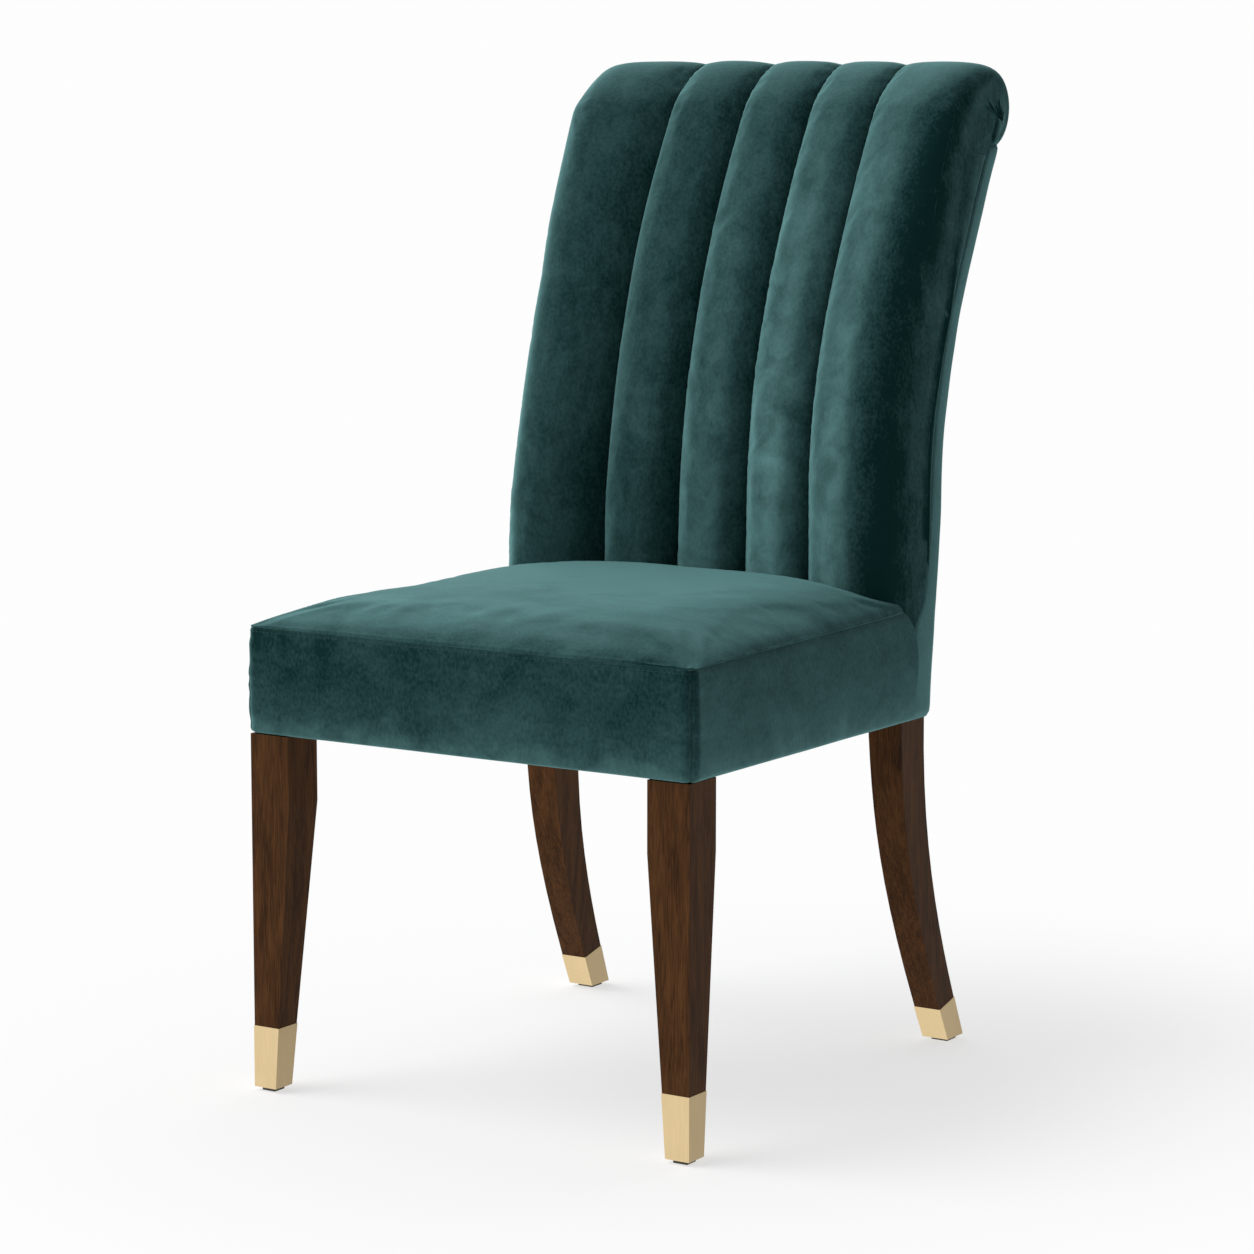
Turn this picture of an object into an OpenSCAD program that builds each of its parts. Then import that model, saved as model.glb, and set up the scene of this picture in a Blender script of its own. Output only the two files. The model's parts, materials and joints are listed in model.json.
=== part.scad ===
// Upholstered dining chair with a channelled scroll back, square tapered front legs,
// swept rear legs and metal-shod feet.
// Seen from the front, +X is the right side; the chair faces -Y and stands on z = 0.
// Every length is in millimetres.

/* [Overall] */
// Width across the front corners of the seat
seat_w = 514; // [505:1:525]
// Half the depth from the front of the seat to the rear of the roll
half_depth = 346; // [344:1:348]
// Height of the underside of the seat at the front
under_front = 360; // [356:1:362]
// How much lower the underside is at the rear
under_drop = 8; // [4:1:10]

/* [Seat] */
// Width of the seat where it meets the back
seat_rear_w = 478; // [474:1:484]
// Height of the seam between the top panel and the boxing
seam_z = 466; // [464:1:470]
// Height of the crown above that seam
crown = 29; // [20:1:32]
// Thickness of the padded boxing
boxing_t = 8; // [7:0.5:8]
// Thickness of the seat rails
rail_t = 24; // [20:1:26]
// Height of the top of the seat rails
rail_top = 424; // [422:1:426]
// Number of sinuous springs
spring_count = 5; // [4:1:6]

/* [Back] */
// Width of the back
back_w = 470; // [468:1:472]
// Distance between two channel seams
channel_pitch = 81.5; // [78:0.5:84]
// How far a channel stands out from its seams low on the back
channel_rise = 20; // [16:1:22]
// How far a channel stands out over the roll
roll_rise = 4.5; // [4:0.5:6]
// Radius of the roll at the channel seams
roll_r = 43; // [42:0.5:44]
// Radius of the wooden core of the roll
core_r = 31; // [29:0.5:31]
// How far the front of the back is hollowed in plan, at the seat
hollow_low = 61.5; // [50:0.5:62]
// How far it is hollowed where it meets the roll
hollow_high = 48; // [40:1:50]
// How far the roll and the rear are bowed in plan
roll_bow = 30; // [26:1:31]

/* [Front legs] */
// Side of the square leg above its taper
leg_top = 46; // [42:1:48]
// Side of the leg where the ferrule begins
leg_low = 29.6; // [28:0.2:32]
// Side of the leg at its foot
leg_foot = 25.3; // [24:0.1:27]
// Height at which the taper begins
taper_z = 290; // [270:1:310]
// Height of the top of the front ferrules
ferrule_z = 66; // [50:1:80]

/* [Rear legs] */
// Width of the rear leg where it enters the seat
rear_leg_w = 38.3; // [36:0.1:39]
// Width of the rear leg at its foot
rear_foot_w = 28.5; // [26:0.5:30]
// Height of the top of the rear ferrules at their front edge
rear_ferrule_z = 39; // [32:1:48]

/* [Feet] */
// Height of the glides
glide_h = 4; // [3:0.5:5]
// Wall of the ferrules
ferrule_t = 1.2; // [1:0.1:1.6]

/* [Hidden] */

$fn = 48;
gap = 0.4;          // clearance kept between upholstery layers

velvet = "#2c5f5f";
velvet_light = "#3f7775";
walnut = "#4a2d20";
beech = "#c9a878";
brass_c = "#d8bd8a";
steel_c = "#b9bcc0";
black_c = "#232326";
foam_c = "#e8dcb8";
cloth_c = "#d9d2c2";

// --- Seat outline -------------------------------------------------------
seat_front = -half_depth;
boxing_rear = 102;              // where the side boxing ends
front_hw = seat_w / 2;
rear_hw = seat_rear_w / 2;
function half_w(y) = front_hw - (front_hw - rear_hw) * (y - seat_front) / (boxing_rear - seat_front);
function under_z(y) = under_front - under_drop * (y - seat_front) / (144 - seat_front);
rail_lift = 4;                  // rails stand this far above the underside
cover_t = 2;                    // velvet with its lining

// --- Back: [y, z] on the centre line, hollowed towards the sides ---------
back_hw = back_w / 2;
back_y = 108.5;                 // seams of the channels low on the back
bend_z = 540;                   // the back starts to sweep here
back_sweep = 127.5;
sweep_h = 420;
roll_c = [298.5, 961];            // centre of the roll on the centre line
tuck_z = 440;                   // channels run down behind the seat to here
join_z = 958;                   // the back runs into the roll here
function back_line(z) = back_y + back_sweep * pow(max(0, z - bend_z) / sweep_h, 1.93);
function hollow(z) = hollow_low - (hollow_low - hollow_high) * (z - tuck_z) / (join_z - tuck_z);
function out(x) = pow(x / back_hw, 2);
function rear_line(z) = let (t = (z - 340) / 550) 144 + 38 * t + 81 * pow(t, 3);
function rear_bow(z) = roll_bow * min(1, max(0, (z - 430) / 400));
function band_w(z) = 22 + 19 * pow(max(0, 650 - z) / 300, 2);
function steps(a, b, n) = [for (i = [0:n]) a + (b - a) * i / n];
function bezier(p, t) = p[0] * pow(1 - t, 3) + 3 * p[1] * t * pow(1 - t, 2)
    + 3 * p[2] * t * t * (1 - t) + p[3] * pow(t, 3);
function unit(v) = v / norm(v);
function arc(c, r, a0, a1, n) = [for (a = steps(a0, a1, n)) c + r * [cos(a), sin(a)]];

rear_off = 6;                   // depth of the padding behind the frame
post_top = 929;                 // top of the posts and the top rail
function frame_depth(z) = 30 + 8 * min(1, max(0, (z - 500) / 200));
function frame_front(z) = rear_line(z) - rear_off - frame_depth(z);
join_pull = 20;
tuck_angle = -62;
join = [back_line(join_z), join_z];
join_dir = unit([back_line(join_z + 1) - back_line(join_z - 1), 2]);
roll_top = roll_c + [0, roll_r];
blend = [join, join + join_dir * join_pull, roll_top - [join_pull, 0], roll_top];
// The line of the channel seams, up the back and round the roll
back_steps = 15;
blend_steps = 4;
seam_path = concat([for (z = steps(tuck_z, join_z, back_steps)) [back_line(z), z]],
    [for (t = [1:blend_steps - 1]) bezier(blend, t / blend_steps)],
    arc(roll_c, roll_r, 90, tuck_angle, 10));
path_n = len(seam_path) - 1;
function blend_part(i) = min(1, max(0, (i - back_steps) / blend_steps));
function path_hollow(i) = i <= back_steps ? hollow(seam_path[i][1])
    : hollow_high - (hollow_high - roll_bow) * blend_part(i);
function path_dir(i) = unit(seam_path[min(path_n, i + 1)] - seam_path[max(0, i - 1)]);
function path_normal(i) = [-path_dir(i)[1], path_dir(i)[0]];
function rise_at(i) = let (z = seam_path[i][1])
    i <= back_steps ? channel_rise - 4 * (z - tuck_z) / (join_z - tuck_z)
    : channel_rise - 4 - (channel_rise - 4 - roll_rise) * blend_part(i);
// The outer channels turn back round the edge of the back in a quarter ellipse
turn_x = 180;
turn_low = 70;
turn_end = 14;
function turn_depth(i) = let (z = seam_path[i][1])
    i <= back_steps ? turn_low - 40 * max(0, (z - 860) / (join_z - 860))
    : (turn_low - 40) * (1 - blend_part(i)) + turn_end * blend_part(i);
function turn(x) = let (t = min(1, max(0, abs(x) - turn_x) / (back_hw - turn_x))) 1 - sqrt(1 - t * t);
function edge_h(i) = rise_at(i) - turn_depth(i);
function seam_point(i, x, h) = let (p = seam_path[i] + h * path_normal(i)) [x, p[0] - path_hollow(i)
    * out(x), p[1]];

// --- Legs ---------------------------------------------------------------
leg_x = front_hw - 3.7;         // outer face of the front legs
leg_y = -344;                   // front face of the front legs
shoulder = 8;                   // upper block steps in under the upholstery
shoulder_z = under_z(leg_y + leg_top) - 0.2;
front_block_x = [leg_x - leg_top, leg_x - shoulder];
front_block_y = [leg_y + shoulder, leg_y + leg_top];
function front_leg_side(z) = z >= taper_z ? leg_top
    : z >= ferrule_z ? leg_low + (leg_top - leg_low) * (z - ferrule_z) / (taper_z - ferrule_z)
    : leg_foot + (leg_low - leg_foot) * (z - glide_h) / (ferrule_z - glide_h);
// Front edge of the rear leg: a curve through the foot, the calf and the seat
rear_front_curve = [[194, 0], [106.4, 179.3], [98.2, 251.1], [96.9, 360]];
rear_back_curve = [[226, 0], [184.7, 97.6], [137.5, 200.6], [145.5, 354]];
rear_post_x = [front_hw - 66.8, front_hw - 28.5];   // inner and outer face of the posts
rear_foot_x = 235.2;
rear_rail_y = 102;              // front face of the rear seat rail

// --- Placing and mirroring ----------------------------------------------
module right_or_left(side) mirror([side < 0 ? 1 : 0, 0, 0]) children();
module side_cut(points, x0, x1)
    translate([x0, 0, 0]) rotate([90, 0, 90]) linear_extrude(x1 - x0) polygon(points);
module front_cut(points, y0, y1)
    translate([0, y1, 0]) rotate([90, 0, 0]) linear_extrude(y1 - y0) polygon(points);
module bar_x(r, x0, x1, y, z) translate([x0, y, z]) rotate([0, 90, 0]) cylinder(r = r, h = x1 - x0);
module bar_y(r, y0, y1, x, z) translate([x, y1, z]) rotate([90, 0, 0]) cylinder(r = r, h = y1 - y0);
// A band of the back between two depth curves, cut by height
module back_strip(front_of, rear_of, z0, z1, x0, x1, n = 16)
    side_cut(concat([for (z = steps(z0, z1, n)) [front_of(z), z]],
        [for (z = steps(z1, z0, n)) [rear_of(z), z]]), x0, x1);
// The same band bowed towards the rear in plan
module bowed_strip(front_of, rear_of, z0, z1, x0, x1, nz, nx) skin_solid(
    [for (z = steps(z0, z1, nz)) [for (x = steps(x0, x1, nx)) [x, front_of(z) + rear_bow(z)
        * (1 - out(x)), z]]],
    [for (z = steps(z0, z1, nz)) [for (x = steps(x0, x1, nx)) [x, rear_of(z) + rear_bow(z)
        * (1 - out(x)), z]]]);

// A closed solid between an outer and an inner grid of points
module skin_solid(outer, inner) {
    n = len(outer) - 1;
    m = len(outer[0]) - 1;
    k = (n + 1) * (m + 1);
    function o(i, j) = i * (m + 1) + j;
    // The squares are split the other way on the far side of the middle
    function q(j, a, b, c, d) = j < m / 2 ? [[a, b, c], [a, c, d]] : [[a, b, d], [b, c, d]];
    faces = [
        for (i = [0:n - 1]) for (j = [0:m - 1])
            each concat(q(j, o(i, j), o(i + 1, j), o(i + 1, j + 1), o(i, j + 1)),
                q(j, k + o(i, j), k + o(i, j + 1), k + o(i + 1, j + 1), k + o(i + 1, j))),
        for (i = [0:n - 1])
            each concat(q(0, o(i + 1, 0), o(i, 0), k + o(i, 0), k + o(i + 1, 0)),
                q(0, o(i, m), o(i + 1, m), k + o(i + 1, m), k + o(i, m))),
        for (j = [0:m - 1])
            each concat(q(j, o(0, j), o(0, j + 1), k + o(0, j + 1), k + o(0, j)),
                q(j, o(n, j + 1), o(n, j), k + o(n, j), k + o(n, j + 1)))];
    polyhedron(points = concat([for (row = outer) each row], [for (row = inner) each row]), faces = faces);
}

// --- Front legs, ferrules and glides ------------------------------------
tip_in = ferrule_t + 0.1;
// A square leg whose outer faces are upright and whose inner faces taper.
// inset moves all four faces in below the top of the ferrule.
module square_leg(z0, z1, inset) {
    zs = z1 > ferrule_z ? [z0, taper_z, z1] : [z0, z1];
    intersection() {
        front_cut(concat([[leg_x - inset, z0], [leg_x - inset, z1]],
            [for (i = [len(zs) - 1:-1:0]) [leg_x - front_leg_side(zs[i]) + inset, zs[i]]]), -370, -270);
        side_cut(concat([[leg_y + inset, z0], [leg_y + inset, z1]],
            [for (i = [len(zs) - 1:-1:0]) [leg_y + front_leg_side(zs[i]) - inset, zs[i]]]), 180, 280);
    }
}
front_dowel_z = [378, 404];
side_dowel_z = [391, 415];
dowel_r = 5;
dowel_half = 25;
rail_mid_y = leg_y + shoulder + rail_t / 2;
side_dowel_x = front_block_x[1] - rail_t / 2;
module front_leg(side) color(walnut) right_or_left(side) difference() {
    union() {
        square_leg(ferrule_z, under_z(front_block_y[1]) - 0.1, 0);
        square_leg(glide_h + 1.6, ferrule_z + 0.1, tip_in);
        translate([front_block_x[0], front_block_y[0], shoulder_z])
            cube([front_block_x[1] - front_block_x[0], front_block_y[1] - front_block_y[0],
                rail_top - shoulder_z]);
    }
    for (z = front_dowel_z) bar_x(dowel_r, front_block_x[0] - 1, front_block_x[0] + dowel_half,
        rail_mid_y, z);
    for (z = side_dowel_z) bar_y(dowel_r, front_block_y[1] - dowel_half, front_block_y[1] + 1,
        side_dowel_x, z);
    translate([foot_x, foot_y, 0]) cylinder(r = nail_r, h = 22);
    front_pin(0.02);
}
foot_x = leg_x - leg_foot / 2;
foot_y = leg_y + leg_foot / 2;
nail_r = 1.25;
lip = 0.5;                      // the ferrule stands this proud of the wood
module front_ferrule(side) color(brass_c) right_or_left(side) difference() {
    square_leg(glide_h, ferrule_z, -lip);
    square_leg(glide_h + 1.5, ferrule_z + 0.05, ferrule_t);
    translate([leg_x - leg_low + ferrule_t, leg_y + ferrule_t, ferrule_z - 1])
        cube([leg_low - 2 * ferrule_t, leg_low - 2 * ferrule_t, 2]);
    translate([foot_x, foot_y, 0]) cylinder(r = nail_r, h = 10);
    front_pin(0.02);
}
module front_glide(side) color(black_c) right_or_left(side) difference() {
    w = leg_foot - 10;
    translate([foot_x - w / 2, foot_y - w / 2, 0]) cube([w, w, glide_h - 0.05]);
    translate([foot_x, foot_y, 1.6]) cylinder(r = nail_r, h = 10);
    translate([foot_x, foot_y, 1.6]) cylinder(r = 3.2, h = 1.2);
}
module front_pin(extra) bar_y(0.9 + extra, leg_y + 22, leg_y + 32, leg_x - leg_low / 2, 44);

// --- Rear legs and posts ------------------------------------------------
function rear_front(t) = bezier(rear_front_curve, t);
function rear_back(t) = bezier(rear_back_curve, t);
leg_t = steps(0, 1, 12);
module rear_side_view(z_low, z_high, inset) intersection() {
    side_cut(concat([for (t = leg_t) rear_front(t) + [inset, 0]],
        [for (i = [len(leg_t) - 1:-1:0]) rear_back(leg_t[i]) - [inset, 0]]), 150, 260);
    translate([150, 60, z_low]) cube([120, 260, z_high - z_low]);
}
module rear_front_view(inset) front_cut([[rear_foot_x - inset, 0], [rear_post_x[1] - inset, 360],
    [rear_post_x[1] - rear_leg_w + inset, 360], [rear_foot_x - rear_foot_w + inset, 0]], 60, 330);
// Everything of the rear leg below a line that rises towards the rear
ferrule_slope = 0.25;
module below_rear_line(z) side_cut([[60, -1], [330, -1], [330, z + (330 - 175) * ferrule_slope],
    [60, z + (60 - 175) * ferrule_slope]], 150, 260);
leg_z1 = under_front - under_drop + 0.3;   // the visible leg ends at the underside
module rear_leg_wood(inset) intersection() {
    rear_side_view(0, leg_z1, inset);
    rear_front_view(inset);
}
post_z0 = under_front - under_drop;
post_z1 = 455;                  // the post starts to sweep and bow here
module rear_leg(side) color(walnut) right_or_left(side) difference() {
    union() {
        difference() {
            rear_leg_wood(0);
            below_rear_line(rear_ferrule_z);
        }
        intersection() {
            rear_leg_wood(tip_in);
            below_rear_line(rear_ferrule_z + 0.1);
            translate([150, 60, glide_h + 1.6]) cube([120, 260, 80]);
        }
        side_cut([[rear_front_curve[3][0], post_z0], [rear_front_curve[3][0], rail_top + 6],
            [frame_front(post_z1), post_z1], [rear_line(post_z1) - rear_off, post_z1],
            [rear_line(post_z0) - rear_off, post_z0]], rear_post_x[0], rear_post_x[1]);
        bowed_strip(function (z) frame_front(z), function (z) rear_line(z) - rear_off,
            post_z1, post_top, rear_post_x[0], rear_post_x[1], 14, 1);
    }
    for (z = front_dowel_z) bar_x(dowel_r, rear_post_x[0] - 1, rear_post_x[0] + dowel_half, rear_rail_mid, z);
    for (z = side_dowel_z)
        bar_y(dowel_r, rear_front_curve[3][0] - 1, rear_front_curve[3][0] + dowel_half, rear_dowel_x, z);
    for (p = back_dowels) bar_x(dowel_r, rear_post_x[0] - 1, rear_post_x[0] + dowel_half, p[0], p[1]);
    translate([rear_foot[0], rear_foot[1], 0]) cylinder(r = nail_r, h = 20);
    rear_pin(0.02);
}
rear_rail_mid = rear_rail_y + rail_t / 2;
rear_dowel_x = rear_post_x[1] - rail_t / 2;
lower_rail_z = [486, 536];
top_rail_z = [868, post_top];
function frame_mid(z) = (frame_front(z) + rear_line(z) - rear_off) / 2 + rear_bow(z)
    * (1 - out(rear_post_x[0]));
back_dowels = [for (z = [498, 524, 884, 914]) [frame_mid(z), z]];
rear_foot = [rear_foot_x - rear_foot_w / 2, 210];
module rear_pin(extra) bar_y(0.9 + extra, 184, 196, rear_foot[0], 27);
module rear_ferrule(side) color(brass_c) right_or_left(side) difference() {
    intersection() {
        rear_leg_wood(-lip);
        below_rear_line(rear_ferrule_z);
        translate([150, 60, glide_h]) cube([120, 260, 80]);
    }
    intersection() {
        rear_leg_wood(ferrule_t);
        translate([150, 60, glide_h + 1.5]) cube([120, 260, 80]);
    }
    translate([rear_foot[0], rear_foot[1], 0]) cylinder(r = nail_r, h = 20);
    rear_pin(0.02);
}
module rear_glide(side) color(black_c) right_or_left(side) difference() {
    w = rear_foot_w - 10;
    translate([rear_foot[0] - w / 2, rear_foot[1] - w / 2, 0]) cube([w, w, glide_h - 0.05]);
    translate([rear_foot[0], rear_foot[1], 1.6]) cylinder(r = nail_r, h = 10);
    translate([rear_foot[0], rear_foot[1], 1.6]) cylinder(r = 3.2, h = 1.2);
}
module glide_nail(p) translate([p[0], p[1], 1.7]) {
    cylinder(r = 3, h = 1);
    cylinder(r = nail_r - 0.05, h = 18);
}
module glide_nails() color(steel_c) for (side = [-1, 1]) right_or_left(side) {
    glide_nail([foot_x, foot_y]);
    glide_nail(rear_foot);
}
module ferrule_pins() color(brass_c) for (side = [-1, 1]) right_or_left(side) {
    front_pin(0);
    rear_pin(0);
}

// --- Seat frame ---------------------------------------------------------
function rail_x(y) = half_w(y) - boxing_t - 3.3;     // outer face of the side rails
rail_y0 = front_block_y[1] + 0.1;
rail_y1 = rear_front_curve[3][0] - 0.1;
side_slope = (rear_post_x[1] - front_block_x[1]) / (rail_y1 - rail_y0);
function side_rail_x(y) = front_block_x[1] + side_slope * (y - rail_y0);
module front_seat_rail() color(beech) difference() {
    translate([-front_block_x[0] + 0.1, leg_y + shoulder, under_front + rail_lift])
        cube([2 * front_block_x[0] - 0.2, rail_t, rail_top - under_front - rail_lift]);
    for (side = [-1, 1]) right_or_left(side) {
        for (z = front_dowel_z)
            bar_x(dowel_r, front_block_x[0] - dowel_half, front_block_x[0] + 1, rail_mid_y, z);
        front_block_screw_y(0.05);
    }
}
module rear_seat_rail() color(beech) difference() {
    translate([-rear_post_x[0] + 0.1, rear_rail_y, under_front - under_drop + rail_lift])
        cube([2 * rear_post_x[0] - 0.2, rail_t, rail_top - under_front + under_drop - rail_lift]);
    for (side = [-1, 1]) right_or_left(side) {
        for (z = front_dowel_z)
            bar_x(dowel_r, rear_post_x[0] - dowel_half, rear_post_x[0] + 1, rear_rail_mid, z);
        rear_block_screw_y(0.05);
    }
}
module side_seat_rail(side) color(beech) right_or_left(side) difference() {
    intersection() {
        linear_extrude(rail_top) polygon([[side_rail_x(rail_y0), rail_y0], [side_rail_x(rail_y1), rail_y1],
            [side_rail_x(rail_y1) - rail_t, rail_y1], [side_rail_x(rail_y0) - rail_t, rail_y0]]);
        side_cut([[rail_y0, under_z(rail_y0) + rail_lift], [rail_y1, under_z(rail_y1) + rail_lift],
            [rail_y1, rail_top], [rail_y0, rail_top]], 150, 260);
    }
    for (z = side_dowel_z) {
        bar_y(dowel_r, rail_y0 - 1, front_block_y[1] + dowel_half, side_dowel_x, z);
        bar_y(dowel_r, rear_front_curve[3][0] - dowel_half, rail_y1 + 1, rear_dowel_x, z);
    }
    front_block_screw_x(0.05);
    rear_block_screw_x(0.05);
}
block_z = [372, 416];
block_arm = 62;
screw_z = [385, 403];
function side_inner(y) = side_rail_x(y) - rail_t;
module front_corner_block(side) color(beech) right_or_left(side) difference() {
    yr = leg_y + shoulder + rail_t + gap;
    translate([0, 0, block_z[0]]) linear_extrude(block_z[1] - block_z[0]) polygon([
        [front_block_x[0] - block_arm, yr], [front_block_x[0] - gap, yr],
        [front_block_x[0] - gap, front_block_y[1] + gap], [side_inner(rail_y0) - gap, front_block_y[1] + gap],
        [side_inner(rail_y0 + block_arm) - gap, rail_y0 + block_arm]]);
    front_block_screw_x(0.15);
    front_block_screw_y(0.15);
}
module rear_corner_block(side) color(beech) right_or_left(side) difference() {
    yr = rear_rail_y - gap;
    translate([0, 0, block_z[0]]) linear_extrude(block_z[1] - block_z[0]) polygon([
        [rear_post_x[0] - block_arm, yr], [side_inner(rail_y1 - block_arm) - gap, rail_y1 - block_arm],
        [side_inner(rail_y1) - gap, rail_y1 - gap], [rear_post_x[0] - gap, rail_y1 - gap],
        [rear_post_x[0] - gap, yr]]);
    rear_block_screw_x(0.15);
    rear_block_screw_y(0.15);
}
// Screw with its head in a counterbore; extra opens the same shape into a hole
module screw_x(x, y, z, extra) {
    bar_x(2 + extra, x, x + 36, y, z);
    bar_x(4 + extra, extra > 0 ? x - 30 : x, x + 3, y, z);
}
module screw_y(dir, x, y, z, extra) translate([x, y, z]) rotate([-90 * dir, 0, 0]) {
    cylinder(r = 2 + extra, h = 36);
    translate([0, 0, extra > 0 ? -30 : 0]) cylinder(r = 4 + extra, h = extra > 0 ? 33 : 3);
}
module front_block_screw_x(extra) screw_x(front_block_x[0] - 6, rail_y0 + 30, screw_z[0], extra);
module front_block_screw_y(extra) screw_y(-1, front_block_x[0] - 30, rail_y0 + 4, screw_z[1], extra);
module rear_block_screw_x(extra) screw_x(rear_post_x[0] - 2, rail_y1 - 26, screw_z[0], extra);
module rear_block_screw_y(extra) screw_y(1, rear_post_x[0] - 28, rail_y1 - 12, screw_z[1], extra);
module corner_block_screws() color(steel_c) for (side = [-1, 1]) right_or_left(side) {
    front_block_screw_x(0);
    front_block_screw_y(0);
    rear_block_screw_x(0);
    rear_block_screw_y(0);
}
dowel_fit = 0.04;
module rail_dowels() color(beech) for (side = [-1, 1]) right_or_left(side) {
    r = dowel_r - dowel_fit;
    h = dowel_half - 1;
    for (z = front_dowel_z) {
        bar_x(r, front_block_x[0] - h, front_block_x[0] + h, rail_mid_y, z);
        bar_x(r, rear_post_x[0] - h, rear_post_x[0] + h, rear_rail_mid, z);
    }
    for (z = side_dowel_z) {
        bar_y(r, front_block_y[1] - h, front_block_y[1] + h, side_dowel_x, z);
        bar_y(r, rear_front_curve[3][0] - h, rear_front_curve[3][0] + h, rear_dowel_x, z);
    }
}

// --- Back frame ---------------------------------------------------------
module back_rail(z) color(beech) difference() {
    bowed_strip(function (h) frame_front(h), function (h) rear_line(h) - rear_off, z[0], z[1],
        -rear_post_x[0] + 0.1, rear_post_x[0] - 0.1, 3, 10);
    for (side = [-1, 1]) right_or_left(side) for (p = back_dowels)
        bar_x(dowel_r, rear_post_x[0] - dowel_half, rear_post_x[0] + 1, p[0], p[1]);
    if (z[1] == post_top) for (x = core_screw_x) core_screw(x, 0.05);
}
module back_rail_dowels() color(beech) for (side = [-1, 1]) right_or_left(side) for (p = back_dowels)
    bar_x(dowel_r - dowel_fit, rear_post_x[0] - dowel_half + 1, rear_post_x[0] + dowel_half - 1, p[0], p[1]);
core_screw_x = [-150, 0, 150];
core_hw = back_hw - 8;
function roll_bend(x) = -roll_bow * out(x);
module core_screw(x, extra) translate([x, roll_c[0] - 13 + roll_bend(x), post_top - 20]) {
    cylinder(r = 2 + extra, h = 44);
    translate([0, 0, 41]) cylinder(r = 4 + extra, h = extra > 0 ? 70 : 3);
}
core_slit = 2;                  // half angle between the upper and lower halves of the outline
function core_ring(a0, a1) = [for (a = steps(a0, a1, 8)) [for (x = steps(-core_hw, core_hw, 10))
    [x, roll_c[0] + core_r * cos(a) + roll_bend(x), roll_c[1] + core_r * sin(a)]]];
module roll_core() color(beech) difference() {
    skin_solid(core_ring(180 - core_slit, core_slit), core_ring(180 + core_slit, 360 - core_slit));
    for (x = core_screw_x) core_screw(x, 0.1);
}
module roll_core_screws() color(steel_c) for (x = core_screw_x) core_screw(x, 0);

// --- Springs, deck and foam of the seat ---------------------------------
wire_r = 1.9;
spring_y = [leg_y + shoulder + 8, rear_rail_y + rail_t - 10];
spring_z = rail_top + 2.6;
spring_rise = 7;
spring_loops = 9;
spring_half_w = 20;
loop_steps = 8;
function spring_point(t) = [spring_half_w * sin(360 * spring_loops * t),
    spring_y[0] + (spring_y[1] - spring_y[0]) * t, spring_z + spring_rise * sin(180 * t)];
module spring_wire() {
    n = spring_loops * loop_steps;
    pts = [for (i = [0:n]) spring_point(i / n)];
    rings = [for (i = [0:n]) let (d = unit(pts[min(n, i + 1)] - pts[max(0, i - 1)]), s = unit(cross(d,
        [0, 0, 1])),
        u = cross(s, d)) [for (k = [0:5]) pts[i] + wire_r * (cos(60 * k) * s + sin(60 * k) * u)]];
    polyhedron(points = [for (r = rings) each r], faces = concat([[5, 4, 3, 2, 1, 0]],
        [[for (k = [0:5]) n * 6 + k]],
        [for (i = [0:n - 1]) for (k = [0:5]) each [[i * 6 + k, i * 6 + (k + 1) % 6, (i + 1)
            * 6 + (k + 1) % 6],
            [i * 6 + k, (i + 1) * 6 + (k + 1) % 6, (i + 1) * 6 + k]]]));
}
spring_xs = steps(-150, 150, spring_count - 1);
module seat_springs() color(steel_c) for (x = spring_xs) translate([x, 0, 0]) spring_wire();
// A clip folded over the end of a spring and open towards the middle of the seat
module spring_clip(x, y, dir) translate([x, y, rail_top + 0.1]) rotate([0, 0, dir]) difference() {
    translate([-9, -5, 0]) cube([18, 10, 6.4]);
    translate([-10, -4.2, 0.5]) cube([20, 12, 5.1]);
}
module spring_clips() color(steel_c) for (x = spring_xs) {
    spring_clip(x, spring_y[0] + 1, 0);
    spring_clip(x, spring_y[1] - 1, 180);
}
deck_z = [437.5, 440.5];
deck_front = leg_y + shoulder + 1;
deck_rear = 28;
module seat_deck() color(cloth_c) translate([0, 0, deck_z[0]]) linear_extrude(deck_z[1] - deck_z[0])
    polygon([[-side_rail_x(deck_front), deck_front], [side_rail_x(deck_front), deck_front],
        [side_rail_x(deck_rear), deck_rear], [-side_rail_x(deck_rear), deck_rear]]);
// Height of the seat top above its seam: steep at the edges, nearly flat in the middle
function seat_rise(u, v) = crown * sqrt(1 - pow(abs(u), 4)) * sqrt(1 - pow(max(0, 1 - v / 0.4), 3));
seat_us = [for (a = steps(-90, 90, 14)) sin(a)];
seat_vs = [for (i = [0:12]) pow(i / 12, 1.5)];
seat_gap = 3;
// Rear edge of the seat top: it follows the hollow of the channels' fronts
function seat_rear(x) = min(boxing_edge[0][0] - 1,
    back_y - channel_rise - seat_gap - hollow_low * min(1, out(x)) + 0.7 * turn_low * turn(x));
function seat_point(u, v, inset, drop) = let (
        y0 = seat_front + inset,
        y1 = seat_rear(u * rear_hw) - inset,
        y = y0 + (y1 - y0) * v)
    [u * (half_w(y) - inset), y, seam_z + seat_rise(u, v) - drop];
function seat_grid(inset, drop) = [for (v = seat_vs) [for (u = seat_us) seat_point(u, v, inset, drop)]];
function flat_grid(grid, z) = [for (row = grid) [for (p = row) [p[0], p[1], z]]];
module seat_foam() color(foam_c) skin_solid(seat_grid(boxing_t + 1, cover_t + gap),
    flat_grid(seat_grid(boxing_t + 1, 0), 441));
module seat_cover_top() color(velvet_light) skin_solid(seat_grid(1, 0), seat_grid(1, cover_t));

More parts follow.
